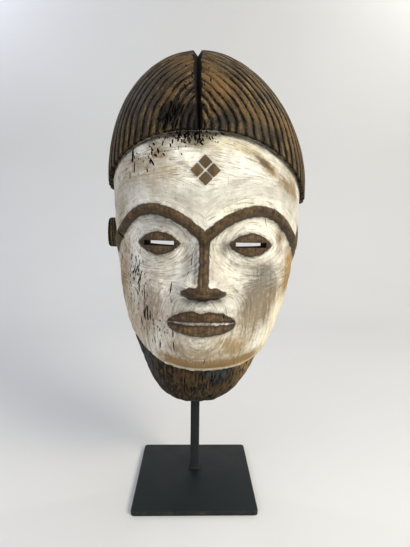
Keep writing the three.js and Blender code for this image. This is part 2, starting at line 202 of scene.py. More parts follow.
def sheetOver(egg, middleHeight, u, v):
    # Lays the square sheet u, v over the block, its edge on the outline
    discX = u * np.sqrt(1 - v * v / 2)
    discZ = v * np.sqrt(1 - u * u / 2)
    radius = np.minimum(1, np.hypot(discX, discZ))
    reach = np.where(discZ > 0, widest + egg["top"] - middleHeight, middleHeight)
    towardX = discX * egg["half"]
    towardZ = discZ * reach
    length = np.maximum(1e-9, np.hypot(towardX, towardZ))
    towardX, towardZ = towardX / length, np.where(length > 1e-8, towardZ / length, 1.0)
    run = rimDistance(egg, 0, middleHeight, towardX, towardZ) * closer(radius, maskForm["crowding"])
    x = towardX * run
    z = middleHeight + towardZ * run
    y = np.where(radius >= 1 - 1e-9, 0, -domeDepth(egg, x, z))
    return np.stack([x, y, z], axis=-1)


def hairDrop(side):
    return np.radians(np.where(side < 0, hairForm["dropLeft"], hairForm["dropRight"]))


def hairRim(angle):
    return rimDistance(hairEgg, hairForm["partingAside"], hairForm["hairline"],
                       np.sin(angle), np.cos(angle))


def hairArch(share, angle):
    # How far out a ridge lies on its way to the rim; the ridges come to a point beside the parting
    turn = np.minimum(np.pi / 2, np.abs(angle))
    pointed = 1 - 0.24 * (1 - share) * np.sin(2 * turn) * np.cos(turn)
    return share ** (0.8 + 0.45 * turn / (np.pi / 2)) * pointed


def hairPlace(side, out):
    # side goes from -1, the left hairline, over 0, the parting, to 1; out from the forehead to the rim
    share = closer(np.clip(out, 0, 1), hairForm["crowding"])
    angle = side * (np.pi / 2 + hairDrop(side) * share ** 2)
    towardX, towardZ = np.sin(angle), np.cos(angle)
    run = hairArch(share, angle) * hairRim(angle)
    x = hairForm["partingAside"] + towardX * run
    z = hairForm["hairline"] + towardZ * run
    y = np.where(out >= 1, 0, -domeDepth(hairEgg, x, z))
    return np.stack([x, y, z], axis=-1)


def hairCoordinates(x, z):
    # The reverse of hairPlace: how far round and how far out a place on the hair is
    dx = x - hairForm["partingAside"]
    dz = z - hairForm["hairline"]
    angle = np.arctan2(dx, dz)
    wanted = np.minimum(1, np.hypot(dx, dz) / hairRim(angle))
    share = searchUp(lambda tried: hairArch(tried, angle) < wanted, x, 1, 30)
    out = searchUp(lambda tried: closer(tried, hairForm["crowding"]) < share, x, 1, 30)
    return angle / (np.pi / 2 + hairDrop(angle) * share ** 2), out


def raised(place, a, b, relief):
    # Lifts a sheet off its own surface by the relief
    step = 2e-3
    at = place(a, b)
    alongA = place(np.minimum(1, a + step), b) - place(np.maximum(-1, a - step), b)
    alongB = place(a, np.minimum(1, b + step)) - place(a, np.maximum(-1, b - step))
    normal = np.cross(alongA, alongB)
    size = np.linalg.norm(normal, axis=-1, keepdims=True)
    normal = np.where(size > 1e-9, normal / np.maximum(size, 1e-9), 0)
    return at + normal * relief[..., None]


def jawEdge(x):
    # The height of the step between the face and the brown band under the jaw
    across = x / maskForm["faceHalfBreadth"]
    return (faceForm["chin"] + faceForm["jawRise"] * np.abs(across) ** 2.6
            - faceForm["jawLean"] * across * np.abs(across))


def browDistance(x, z):
    # Millimetres above the line of the brow
    out = np.abs(x)
    middle = eyeOut * 1.22
    inner = out < middle
    across = (out - middle) / np.where(inner, middle, eyeOut * 1.15)
    fall = np.where(inner, browInnerFall, browOuterFall) * third
    slope = -2 * fall * across / middle
    return (z - browTop + fall * across * across) / np.hypot(1, slope)


def downNose(z):
    # 0 at the brows and 1 at the tip of the nose
    return np.clip((browHeight - z) / (browHeight - noseBase), 0, 1)


def lidMargin(x, z):
    # Millimetres inside the almond of the lids
    along = np.abs(np.abs(x) - eyeOut) / (eyeWidth * 0.52)
    half = eyeWidth * 0.27 * (1 - along ** 2)
    return (half - np.abs(z - eyeHeight)) / np.hypot(1, 0.55 * along)


def lipHalf(x, z):
    # Half the height of the lips here, and how full they are from 0, past the corners, to 1
    run = np.sqrt(np.maximum(0, 1 - (x / mouthHalf) ** 2))
    upper = 8.5 * run - 1.6 * bell(x, 4)
    return np.where(z > mouthHeight, upper, 9.5 * run), run


def wobble(x, z, size):
    # An uneven surface left by the carver's knife, from crossed waves about this many millimetres long
    a = np.sin(x * 6.3 / size + 2.1 * np.sin(z * 2.9 / size + 0.7))
    b = np.sin(z * 5.1 / size + 1.7 * np.sin(x * 3.7 / size + 2.3))
    c = np.sin((x + z) * 4.3 / size + 1.3 * np.sin((x - z) * 3.1 / size))
    return (a * b + 0.6 * c) / 1.6


# How far each form stands out from the face or goes into it, in millimetres
reliefForm = {
    "brow": 2.6,
    "browHalf": 3.2,
    "socket": 4.5,
    "eyeball": 4.5,
    "lid": 2,
    "bridgeTop": 2.5,
    "bridgeTip": 15,
    "wing": 8,
    "muzzle": 4.5,
    "lip": 4.2,
    "lipLine": 2.4,
    "cheek": 2.5,
    "chin": 3.5,
    "knife": 0.35,  # unevenness of the carving, in long and in short waves
    "shortKnife": 0.18,
}


def faceRelief(x, z):
    form = reliefForm
    out = np.abs(x)
    fromArch = browDistance(x, z)
    ends = ease(eyeOut * 2.4, eyeOut * 2.1, out)
    brow = form["brow"] * np.exp(-(np.abs(fromArch / form["browHalf"]) ** 2.6)) * ends
    socket = np.hypot((out - eyeOut * 1.12) / (eyeOut * 1.05), (z - eyeHeight) / (third * 0.52))
    orbit = -form["socket"] * ease(1.15, 0.6, socket) * ease(1, -5, fromArch)

    eyeball = form["eyeball"] * swell(out, z, eyeOut, eyeHeight, eyeWidth * 0.62, eyeWidth * 0.42)
    margin = lidMargin(x, z)
    lid = form["lid"] * ease(-1.0, 0.9, margin)

    bridgeHeight = browTop - browInnerFall * third
    down = downNose(z)
    bridgeRise = form["bridgeTop"] + (form["bridgeTip"] - form["bridgeTop"]) * down ** 1.3
    bridge = bridgeRise * bell(out, 4 + 4.5 * down)
    wing = form["wing"] * swell(out, z, eyeWidth * 0.33, noseBase + 6, 5.5, 6.5)
    noseEnd = ease(noseBase - 2, noseBase + 2.5, z)
    nose = bridge * noseEnd * ease(bridgeHeight + 3, bridgeHeight - 14, z) + wing * noseEnd

    muzzle = form["muzzle"] * swell(x, z, 0, mouthHeight, 30, 21)
    height, run = lipHalf(x, z)
    off = z - mouthHeight
    lip = form["lip"] * np.sqrt(run) * ease(height + 1.0, height * 0.5, np.abs(off))
    lipLine = -form["lipLine"] * bell(off, 1.5) * ease(mouthHalf + 1, mouthHalf - 5, out)

    cheek = form["cheek"] * swell(out, z, eyeOut * 1.35, noseBase + 6, 22, 24)
    chin = form["chin"] * swell(x, z, 0, faceForm["chin"] + 13, 20, 12)
    band = -faceForm["jawStep"] * ease(0.2, 1.6, jawEdge(x) - z)
    carved = form["knife"] * wobble(x, z, 17) + form["shortKnife"] * wobble(x + 31, z, 7)
    return brow + orbit + eyeball + lid + nose + muzzle + lip + lipLine + cheek + chin + band + carved


def hairRubbed(side, out):
    # Where the ridges are worn away beside the crown of the parting
    left = 0.8 * swell(side, out, -0.06, 0.6, 0.16, 0.24)
    right = 0.9 * swell(side, out, 0.12, 0.5, 0.2, 0.26)
    return np.minimum(0.85, left + right)


def combPhase(side, out):
    # Counts the ridges from the parting outwards, with the small sway of a hand-cut groove
    sway = 0.05 * np.sin(7 * side + 3 * out) + 0.04 * np.sin(17 * side + 9 * out)
    return out * hairForm["ridges"] + sway * ease(0, 0.1, out) * ease(1, 0.9, out)


def hairRelief(side, out):
    phase = combPhase(side, out)
    number = np.floor(phase)
    uneven = 0.85 + 0.3 * np.sin(number * 2.4 + 1.9) * np.sin(side * 3 + number)
    groove = 1 - np.abs(np.sin(np.pi * phase)) ** 0.45  # narrow grooves between broad ridges
    depth = hairForm["ridgeHeight"] * groove * uneven * (1 - hairRubbed(side, out))
    fibres = 0.12 * np.sin(out * 400 + 3 * np.sin(side * 11))
    return (-depth + fibres) * ease(1.0, 0.985, out)


def newMesh(bm, name, materials, slot=0):
    mesh = bpy.data.meshes.new(name)
    for face in bm.faces:
        face.material_index = slot
    bmesh.ops.recalc_face_normals(bm, faces=bm.faces)
    bm.to_mesh(mesh)
    bm.free()
    for material in materials:
        mesh.materials.append(material)
    piece = bpy.data.objects.new(name, mesh)
    bpy.context.scene.collection.objects.link(piece)
    return piece


def smooth(mesh, degrees):
    # Smooth, but for the edges that turn by more than this
    mesh.shade_smooth()
    mesh.set_sharp_from_angle(angle=math.radians(degrees))


def drawOut(bm, faces, vec, closed=True):
    # Extrudes the faces, which stay as an end of the solid if it is closed there
    made = bmesh.ops.extrude_face_region(bm, geom=faces)["geom"]
    if not closed:
        bmesh.ops.delete(bm, geom=[face for face in faces if face.is_valid], context="FACES_ONLY")
    verts = [part for part in made if isinstance(part, bmesh.types.BMVert)]
    bmesh.ops.translate(bm, verts=verts, vec=vec)
    return verts, [part for part in made if isinstance(part, bmesh.types.BMFace)]


def bevel(bm, geom, offset, segments, affect="EDGES"):
    bmesh.ops.bevel(bm, geom=geom, offset=offset, segments=segments, affect=affect, profile=0.5,
                    material=-1)


def moveVerts(bm, places):
    for vert, place in zip(bm.verts, places.tolist()):
        vert.co = place


def closeBehind(bm):
    # Runs the open rim straight back past the sawn face and caps it
    rim = [edge for edge in bm.edges if edge.is_boundary]
    wall = bmesh.ops.extrude_edge_only(bm, edges=rim)["geom"]
    for part in wall:
        if isinstance(part, bmesh.types.BMVert):
            part.co.y = maskForm["sawMargin"]
    back = [part for part in wall if isinstance(part, bmesh.types.BMEdge)]
    bmesh.ops.holes_fill(bm, edges=back, sides=0)


def gridOver(columns, rows):
    # A flat square grid from -1 to 1, and its points' places
    bm = bmesh.new()
    bmesh.ops.create_grid(bm, x_segments=columns, y_segments=rows, size=1)
    places = np.array([vert.co[:2] for vert in bm.verts])
    places = np.where(np.abs(places) > 1 - 1e-6, np.sign(places), places)
    return bm, places[:, 0], places[:, 1]


def makeFace(materials, slot):
    bm, u, v = gridOver(maskForm["columns"], maskForm["rows"])
    u = u * (0.8 + 0.2 * u * u)
    v = v * (0.8 + 0.2 * v * v)

    def place(a, b):
        return sheetOver(faceEgg, maskForm["faceMiddle"], a, b)

    at = place(u, v)
    onRim = (np.abs(u) == 1) | (np.abs(v) == 1)
    relief = np.where(onRim, 0, faceRelief(at[:, 0], at[:, 2]))
    moveVerts(bm, raised(place, u, v, relief))
    closeBehind(bm)
    return newMesh(bm, "face", materials, slot)


def makeHair(materials, slot):
    bm, side, out = gridOver(hairForm["spokes"], hairForm["rings"])
    out = (out + 1) / 2
    at = raised(hairPlace, side, out, hairRelief(side, out))
    at[:, 1] = np.where(out >= 1, 0, at[:, 1])
    moveVerts(bm, at)
    bmesh.ops.remove_doubles(bm, verts=bm.verts, dist=1e-4)
    closeBehind(bm)
    return newMesh(bm, "hair", materials, slot)


def makeParting(materials, slot):
    steps = 40

    def section(at, inward, share):
        widening = hairForm["partingWide"] - hairForm["partingNarrow"]
        width = hairForm["partingNarrow"] + widening * share
        deepening = hairForm["partingShallow"] - hairForm["partingDeep"]
        depth = hairForm["partingDeep"] + deepening * share
        spread = 1 + 2 * hairForm["rise"] / depth
        ragged = 0.35 * math.sin(share * 41) + 0.25 * math.sin(share * 97 + 1)
        half = (width / 2 + ragged) * spread
        lip = at - inward * 2 * hairForm["rise"]
        x = hairForm["partingAside"]
        return [(x - half, lip.y, lip.z), (x + half, lip.y, lip.z),
                tuple(at + inward * depth)]

    def onHair(out):
        return Vector(hairPlace(np.array([0.0]), np.array([min(1.0, max(0.0, out))]))[0])

    below = onHair(0) - Vector((0, 0, hairForm["partingDeep"]))
    sections = [section(below, Vector((0, 1, 0)), 0)]
    for i in range(steps):
        along = (onHair((i + 0.5) / steps) - onHair((i - 0.5) / steps)).normalized()
        sections.append(section(onHair(i / steps), Vector((0, along.z, -along.y)), i / steps))
    sections.append(section(onHair(1), Vector((0, 0, -1)), 1))
    last = onHair(1)
    last.y = maskForm["sawMargin"] * 2
    sections.append(section(last, Vector((0, 0, -1)), 1))
    # A sheet rolled into a three-sided bar, with its two long edges welded
    bm = bmesh.new()
    bmesh.ops.create_grid(bm, x_segments=3, y_segments=len(sections) - 1, size=1)
    for vert in bm.verts:
        corner = round((vert.co.x + 1) * 1.5) % 3
        row = round((vert.co.y + 1) / 2 * (len(sections) - 1))
        vert.co = sections[row][corner]
    bmesh.ops.remove_doubles(bm, verts=bm.verts, dist=1e-4)
    bmesh.ops.holes_fill(bm, edges=bm.edges[:], sides=4)
    return newMesh(bm, "parting", materials, slot)


def makeHollow(materials, slot):
    bm, u, v = gridOver(hollowForm["divisions"], hollowForm["divisions"])
    at = sheetOver(hollowEgg, widest, u, v)
    chips = 0.45 * wobble(at[:, 0], at[:, 2], 13)  # gouge marks
    at[:, 1] = np.where(at[:, 1] < 0, at[:, 1] + chips * ease(0, 12, -at[:, 1]), 0)
    moveVerts(bm, at)
    closeBehind(bm)
    return newMesh(bm, "hollow", materials, slot)


def makeSlit(side, materials, slot):
    bm = bmesh.new()
    end = faceForm["slitWidth"] / 2
    half = faceForm["slitHeight"] / 2
    bmesh.ops.create_circle(bm, cap_ends=True, segments=6, radius=1)
    for vert in bm.verts:
        shoulder = abs(vert.co.y) > 0.1
        x = math.copysign(end - faceForm["slitHeight"] if shoulder else end, vert.co.x)
        z = math.copysign(half, vert.co.y) if shoulder else 0
        vert.co = (side * eyeOut + x, -maskForm["faceDepth"] / 3, eyeHeight + z)
    drawOut(bm, bm.faces[:], (0, -maskForm["faceDepth"], 0))
    return newMesh(bm, "slit", materials, slot)


def makeLozenges(materials, slot):
    bm = bmesh.new()
    side, sunk = faceForm["lozengeSide"], faceForm["lozengeSunk"]
    pitch = (side + faceForm["lozengeGap"]) / 2 * math.sqrt(0.5)
    for right in (-1, 1):
        for left in (-1, 1):
            x = (right - left) * pitch
            z = faceForm["lozengeHeight"] + (right + left) * pitch
            front = float(domeDepth(faceEgg, np.array([x]), np.array([z]))[0]) + faceForm["lozengeRise"]
            place = Matrix.Translation((x, sunk - front, z)) @ Matrix.Rotation(math.pi / 4, 4, "Y")
            shape = place @ Matrix.Diagonal((side, 2 * sunk, side, 1))
            bmesh.ops.create_cube(bm, size=1, matrix=shape)
    bevel(bm, bm.edges[:], faceForm["lozengeEdge"], 2)
    return newMesh(bm, "lozenges", materials, slot)


earForm = {
    "depth": 14,
    "height": 24,
    "middle": 143,
    "setForward": 15,
    "root": 14,  # how deep it is sunk into the side of the face
    "proudLeft": 7.5,
    "proudRight": 1.5,
    "edge": 2,
    "rim": 1.4,
    "concha": 3.5,
}


def makeEar(side, materials, slot):
    form = earForm
    forward, root = form["setForward"], form["root"]
    proud = form["proudLeft"] if side < 0 else form["proudRight"]
    reach = float(rimDistance(faceEgg, 0, form["middle"], np.array([1.0]), np.array([0.0]))[0])
    surface = reach * math.sqrt(max(0, 1 - (forward / maskForm["faceDepth"]) ** 2))
    bm = bmesh.new()
    bmesh.ops.create_circle(bm, cap_ends=True, segments=40, radius=1)
    bmesh.ops.scale(bm, vec=(form["depth"] / 2, form["height"] / 2, 1), verts=bm.verts)
    _, ends = drawOut(bm, bm.faces[:], (0, 0, root + proud))
    bevel(bm, ends[0].edges[:], form["edge"], 3)
    top = max(bm.faces, key=lambda face: face.calc_center_median().z)
    bmesh.ops.inset_region(bm, faces=[top], thickness=form["rim"])
    top = max(bm.faces, key=lambda face: (round(face.calc_center_median().z, 3), face.calc_area()))
    floor, _ = drawOut(bm, [top], (0, 0, -form["concha"]), closed=False)
    centre = sum((vert.co for vert in floor), Vector()) / len(floor)
    bmesh.ops.scale(bm, vec=(0.7, 0.75, 1), verts=floor, space=Matrix.Translation(-centre))
    turn = Matrix(((0, 0, side), (side, 0, 0), (0, 1, 0))).to_4x4()
    bmesh.ops.transform(bm, matrix=turn, verts=bm.verts)
    bmesh.ops.translate(bm, verts=bm.verts, vec=(side * (surface - root), -forward, form["middle"]))
    return newMesh(bm, "ear", materials, slot)


def makeBackCut(materials, slot):
    bm = bmesh.new()
    size = maskForm["height"] * 2
    place = Matrix.Translation((0, size / 2, widest)) @ Matrix.Diagonal((size, size, size, 1))
    bmesh.ops.create_cube(bm, size=1, matrix=place)
    return newMesh(bm, "backCut", materials, slot)


hairlineRun = np.linspace(0, 1, 60)
hairlineLeft = hairPlace(np.full(60, -1.0), hairlineRun)
hairlineRight = hairPlace(np.full(60, 1.0), hairlineRun)
hairlineX = np.concatenate([hairlineLeft[::-1, 0], hairlineRight[1:, 0]])
hairlineZ = np.concatenate([hairlineLeft[::-1, 2], hairlineRight[1:, 2]])


def hairlineAt(x):
    return np.interp(x, hairlineX, hairlineZ)


def surfaceAt(x, z):
    # A place on the face or the hair, and the way out of the wood there
    egg = hairEgg if z > hairlineAt(x) else faceEgg
    xs = np.array([x, x + 1, x - 1, x, x])
    zs = np.array([z, z, z, z + 1, z - 1])
    depth = domeDepth(egg, xs, zs)
    if egg is faceEgg:
        depth = depth + faceRelief(xs, zs)
    outward = Vector((-(depth[1] - depth[2]) / 2, -1, -(depth[3] - depth[4]) / 2))
    return Vector((x, -depth[0], z)), outward.normalized()


splitForm = {
    "cheekLine": [(-62, 150), (-57, 135), (-50, 120), (-42, 107), (-38, 95), (-36, 81), (-30, 68)],
    "cheek": 44,  # how many there are in each place
    "underParting": 60,
    "foreheadLeft": 22,
    "eatenHair": 44,
    "alongParting": 22,
    "collar": 60,
    "seed": 7,
}


def listSplits():
    # Splits and insect holes in the old wood: x, z, length, width, depth, lean to the right in degrees
    rng = random.Random(splitForm["seed"])
    splits = [
        (-48.5, 195, 12, 3.2, 4, -8), (-47.2, 187, 8, 1.8, 3, 6), (-51, 182, 5, 1.2, 2.5, 0),
        (-30, 196, 5, 1.8, 3, -20), (-34, 189, 6, 2.0, 3, -35), (-27, 201, 4, 1.4, 3, 10),
        (-21, 109, 10, 1.3, 4, 2), (-20.5, 101, 5, 0.8, 3, -4),
        (-8, 127.5, 9, 1.0, 4, -3), (-10, 119, 4, 0.7, 3, 4),
        (-18, 80, 10, 1.4, 4, 1), (-17, 70, 9, 1.2, 4, -3),
        (14, 92, 4, 0.9, 2.5, 12), (41, 152, 7, 0.8, 2, -28), (4, 60, 6, 0.7, 3, 8),
    ]
    line = splitForm["cheekLine"]
    for _ in range(splitForm["cheek"]):
        i = rng.randrange(len(line) - 1)
        t = rng.random()
        x = line[i][0] + (line[i + 1][0] - line[i][0]) * t + rng.gauss(0, 3.2)
        z = line[i][1] + (line[i + 1][1] - line[i][1]) * t
        size = rng.random() ** 2
        splits.append((x, z, 2.5 + 10 * size, 0.6 + 1.1 * size, 3.5, rng.uniform(-5, 6)))
    for _ in range(splitForm["underParting"]):
        size = rng.random() ** 2
        x = rng.gauss(-10, 11)
        z = 208 - abs(rng.gauss(0, 4))
        splits.append((x, z, 1 + 3 * size, 0.6 + 1.1 * size, 1.2 + 1.6 * size, rng.uniform(-50, 50)))
    for _ in range(splitForm["foreheadLeft"]):
        size = rng.random() ** 2
        x, z = rng.gauss(-34, 6), rng.gauss(194, 4)
        splits.append((x, z, 1.2 + 3 * size, 0.7 + 1.2 * size, 1.2 + 1.5 * size, rng.uniform(-60, 20)))
    for _ in range(splitForm["eatenHair"]):
        t = rng.random()
        size = rng.random() ** 1.5
        x = -15 - 12 * t + rng.gauss(0, 4)
        z = 213 + 15 * rng.random() - 4 * t
        splits.append((x, z, 2 + 8 * size, 0.7 + 1.3 * size, 4, rng.uniform(2, 30)))
    for _ in range(splitForm["alongParting"]):
        x = hairForm["partingAside"] + rng.choice((-1, 1)) * rng.uniform(3, 9)
        z = rng.uniform(222, 264)
        splits.append((x, z, rng.uniform(1.5, 4), rng.uniform(0.7, 1.5), 2, rng.uniform(-50, 50)))
    for _ in range(splitForm["collar"]):
        x = rng.uniform(-40, 42)
        z = rng.uniform(14, float(jawEdge(np.array([x]))[0]) - 4)
        splits.append((x, z, rng.uniform(4, 12), rng.uniform(0.7, 1.5), 2.5, rng.uniform(-6, 6)))
    return splits


def makeChecks(materials, slot):
    # Each split is a ragged lens. Those that touch go into different meshes, since each mesh is taken
    # out of the wood in one cut.
    batches = []
    for x, z, length, width, depth, lean in listSplits():
        place, outward = surfaceAt(x, z)
        upright = Vector((math.sin(math.radians(lean)), 0, math.cos(math.radians(lean))))
        upright = (upright - outward * upright.dot(outward)).normalized()
        across = upright.cross(outward)
        turn = Matrix((across, -outward, upright)).transposed().to_4x4()
        shape = Matrix.Translation(place) @ turn @ Matrix.Diagonal((width / 2, depth, length / 2, 1))
        reach = max(length / 2, depth)
        batch = next((group for group in batches if all(
            (place - other).length > (reach + far) * 1.15 for other, far, _ in group)), None)
        if batch is None:
            batch = []
            batches.append(batch)
        batch.append((place, reach, shape))
    made = []
    rng = random.Random(splitForm["seed"])
    for batch in batches:
        bm = bmesh.new()
        for _, _, shape in batch:
            lens = bmesh.ops.create_uvsphere(bm, u_segments=6, v_segments=6, radius=1)["verts"]
            for vert in lens:
                vert.co *= rng.uniform(0.72, 1.12)
            bmesh.ops.transform(bm, matrix=shape, verts=lens)
        made.append(newMesh(bm, "checks", materials, slot))
    return made


def applyAll(piece):
    graph = bpy.context.evaluated_depsgraph_get()
    mesh = bpy.data.meshes.new_from_object(piece.evaluated_get(graph))
    piece.modifiers.clear()
    piece.data = mesh


def cut(piece, other, operation):
    step = piece.modifiers.new(operation, "BOOLEAN")
    step.operation = operation
    step.object = other
    step.solver = "MANIFOLD"
    applyAll(piece)
    bpy.data.objects.remove(other)


def dropCrumbs(piece, fewest):
    # Loose bits that the cuts leave, each of fewer points than this
    bm = bmesh.new()
    bm.from_mesh(piece.data)
    crumbs = []
    for start in bm.verts:
        if start.tag:
            continue
        start.tag = True
        island = [start]
        for vert in island:
            for edge in vert.link_edges:
                other = edge.other_vert(vert)
                if not other.tag:
                    other.tag = True
                    island.append(other)
        if len(island) < fewest:
            crumbs += island
    bmesh.ops.delete(bm, geom=crumbs, context="VERTS")
    bm.to_mesh(piece.data)
    bm.free()


def colour(code):
    parts = [int(code[i:i + 2], 16) / 255 for i in (1, 3, 5)]
    return [c / 12.92 if c <= 0.04045 else ((c + 0.055) / 1.055) ** 2.4 for c in parts] + [1]


def addNode(material, kind, inputs=None, output=None, stops=None, **settings):
    # Adds one node with its settings, values and links, and gives the socket that it is read from.
    # Inputs 0 to 4 of a Map Range node are its value, the range that this comes from and the range it
    # is turned to. Those of a Mix node are 0, its share, and 2 and 3, or 6 and 7, what is mixed.
    node = material.node_tree.nodes.new(kind)
    for key, value in settings.items():
        setattr(node, key, value)
    if stops:
        ramp = node.color_ramp
        ramp.elements.remove(ramp.elements[1])
        ramp.elements[0].position = stops[0][0]
        ramp.elements[0].color = colour(stops[0][1])
        for position, code in stops[1:]:
            ramp.elements.new(position).color = colour(code)
    for key, value in (inputs or {}).items():
        if isinstance(value, bpy.types.NodeSocket):
            material.node_tree.links.new(value, node.inputs[key])
        elif isinstance(value, str):
            node.inputs[key].default_value = colour(value)
        else:
            node.inputs[key].default_value = value
    if output:
        return node.outputs[output]
    return next((socket for socket in node.outputs if socket.enabled), None)


def newMaterial(name):
    # Gives the material and its place in metres and in millimetres
    material = bpy.data.materials.new(name)
    material.use_nodes = True
    material.node_tree.nodes.clear()
    place = addNode(material, "ShaderNodeTexCoord", output="Object")
    inMm = addNode(material, "ShaderNodeMapping", {"Vector": place, "Scale": (1 / mm, 1 / mm, 1 / mm)})
    return material, place, inMm


def cutMask():
    # Joins the forms that stand proud, and then cuts out the hollows
    materials = [kaolin, combedHair, hollowWood, lozengeWood, splitWood]
    mask = makeFace(materials, 0)
    cut(mask, makeHair(materials, 1), "UNION")
    for side in (-1, 1):
        cut(mask, makeEar(side, materials, 1), "UNION")
    cut(mask, makeLozenges(materials, 3), "UNION")
    print("stage: face, hair and ears joined,", len(mask.data.polygons), "faces")
    cut(mask, makeParting(materials, 4), "DIFFERENCE")
    cut(mask, makeHollow(materials, 2), "DIFFERENCE")
    for side in (-1, 1):
        cut(mask, makeSlit(side, materials, 4), "DIFFERENCE")
    splits = makeChecks(materials, 4)
    for split in splits:
        cut(mask, split, "DIFFERENCE")
    cut(mask, makeBackCut(materials, 2), "DIFFERENCE")
    dropCrumbs(mask, 1000)
    print("stage: hollow, parting, slits and", len(splits), "sets of splits cut,",
          len(mask.data.polygons), "faces")
    return mask


def store(mesh, name, values):
    # A number or a triple at every point, for the materials to read
    flat = np.ascontiguousarray(values, dtype=np.float32)
    kind = "FLOAT" if flat.ndim == 1 else "FLOAT_VECTOR"
    field = "value" if flat.ndim == 1 else "vector"
    mesh.attributes.new(name, kind, "POINT").data.foreach_set(field, flat.ravel())


def bareMargin(x, z):
    # Millimetres inside the shapes that were left brown: brows, nose ridge and wings, lids and lips
    out = np.abs(x)
    fromArch = browDistance(x, z)
    brow = np.minimum(3.6 - np.abs(fromArch), eyeOut * 2.36 - out)
    down = downNose(z)
    ridge = np.minimum(2.7 + 2.2 * (1 - down) ** 2 + 1.6 * down ** 3 - out, browHeight - 14.5 - z)
    ridge = np.minimum(ridge, z - noseBase + 1)
    wings = 5 * (1 - np.hypot(out / 15, (z - noseBase - 2.2) / (5.4 + 0.5 * np.sin(out * 0.9))) ** 2)
    height, run = lipHalf(x, z)
    lips = np.where(out < mouthHalf, height - np.abs(z - mouthHeight) - 0.3, -3)
    lips = np.minimum(lips, np.abs(z - mouthHeight) - 0.9 * run)  # clay has gathered between them
    lids = lidMargin(x, z) - 0.3
    return np.maximum.reduce([brow, ridge, wings, lips, lids])


def shadeAndDirtHeld(x, z):
    # Painted shade with old dirt in the folds, from 0 to 1: darker under the brows, round the lids and
    # lips, in the slits, on the nose's wings and beside and under the nose
    out = np.abs(x)
    halfSlit = faceForm["slitWidth"] / 2
    underBrow = 0.9 * bell(browDistance(x, z) + 3, 1.5) * ease(eyeOut * 2.4, eyeOut * 2.2, out)
    roundLids = 0.65 * bell(lidMargin(x, z), 1.1)
    inSlit = 0.9 * bell(z - eyeHeight - 0.5, 2.6) * ease(
        halfSlit + 3, halfSlit - 3, np.abs(out - eyeOut))
    # painted shade: the left side of the nose is darker than the right, as if lit from the right
    alongNose = np.where(x < 0, 0.75, 0.4) * bell(out - 5.2, 1.3) * ease(
        noseBase + 4, noseBase + 12, z) * ease(browHeight - 14, browHeight - 20, z)
    underNose = 0.8 * bell(z - noseBase + 2.6, 1.7) * ease(16, 11, out)
    height, run = lipHalf(x, z)
    off = np.abs(z - mouthHeight)
    roundLips = 0.55 * bell(off - height, 1.2) * (run > 0)
    betweenLips = 0.7 * bell(off - 1.4, 0.9) * (run > 0.3)
    onWings = 0.85 * bell(z - noseBase - 1.5, 3.5) * ease(15, 11, out) * ease(1.5, 6, out)
    return np.maximum.reduce([
        underBrow, roundLids, inSlit, alongNose, underNose, onWings, roundLips, betweenLips])


def strokeFlow(x, z):
    # Across and along the brush: round the eyes, along the brows and round the mouth
    out = np.abs(x)
    ex, ez = (out - eyeOut * 1.12) / 1.3, z - eyeHeight
    acrossEye, alongEye = np.hypot(ex, ez * 1.15), np.arctan2(ez, ex) * 20
    mx, mz = x, (z - mouthHeight) * 0.75
    acrossMouth, alongMouth = np.hypot(mx, mz), np.arctan2(mz, mx) * 24
    low = ease(noseBase + 14, noseBase - 4, z)
    fromArch = browDistance(x, z)
    high = ease(-1, 2, fromArch)
    across = acrossEye + (acrossMouth - acrossEye) * low
    along = alongEye + (alongMouth - alongEye) * low
    brow = ease(22, 8, fromArch)
    acrossHigh = fromArch * 0.9 * brow + (z + 0.004 * x * x) * (1 - brow)
    across = across + (acrossHigh + 0.1 * x - across) * high
    along = along + (x + 0.3 * z - along) * high
    return np.stack([across, along, x * 0.04], axis=-1)


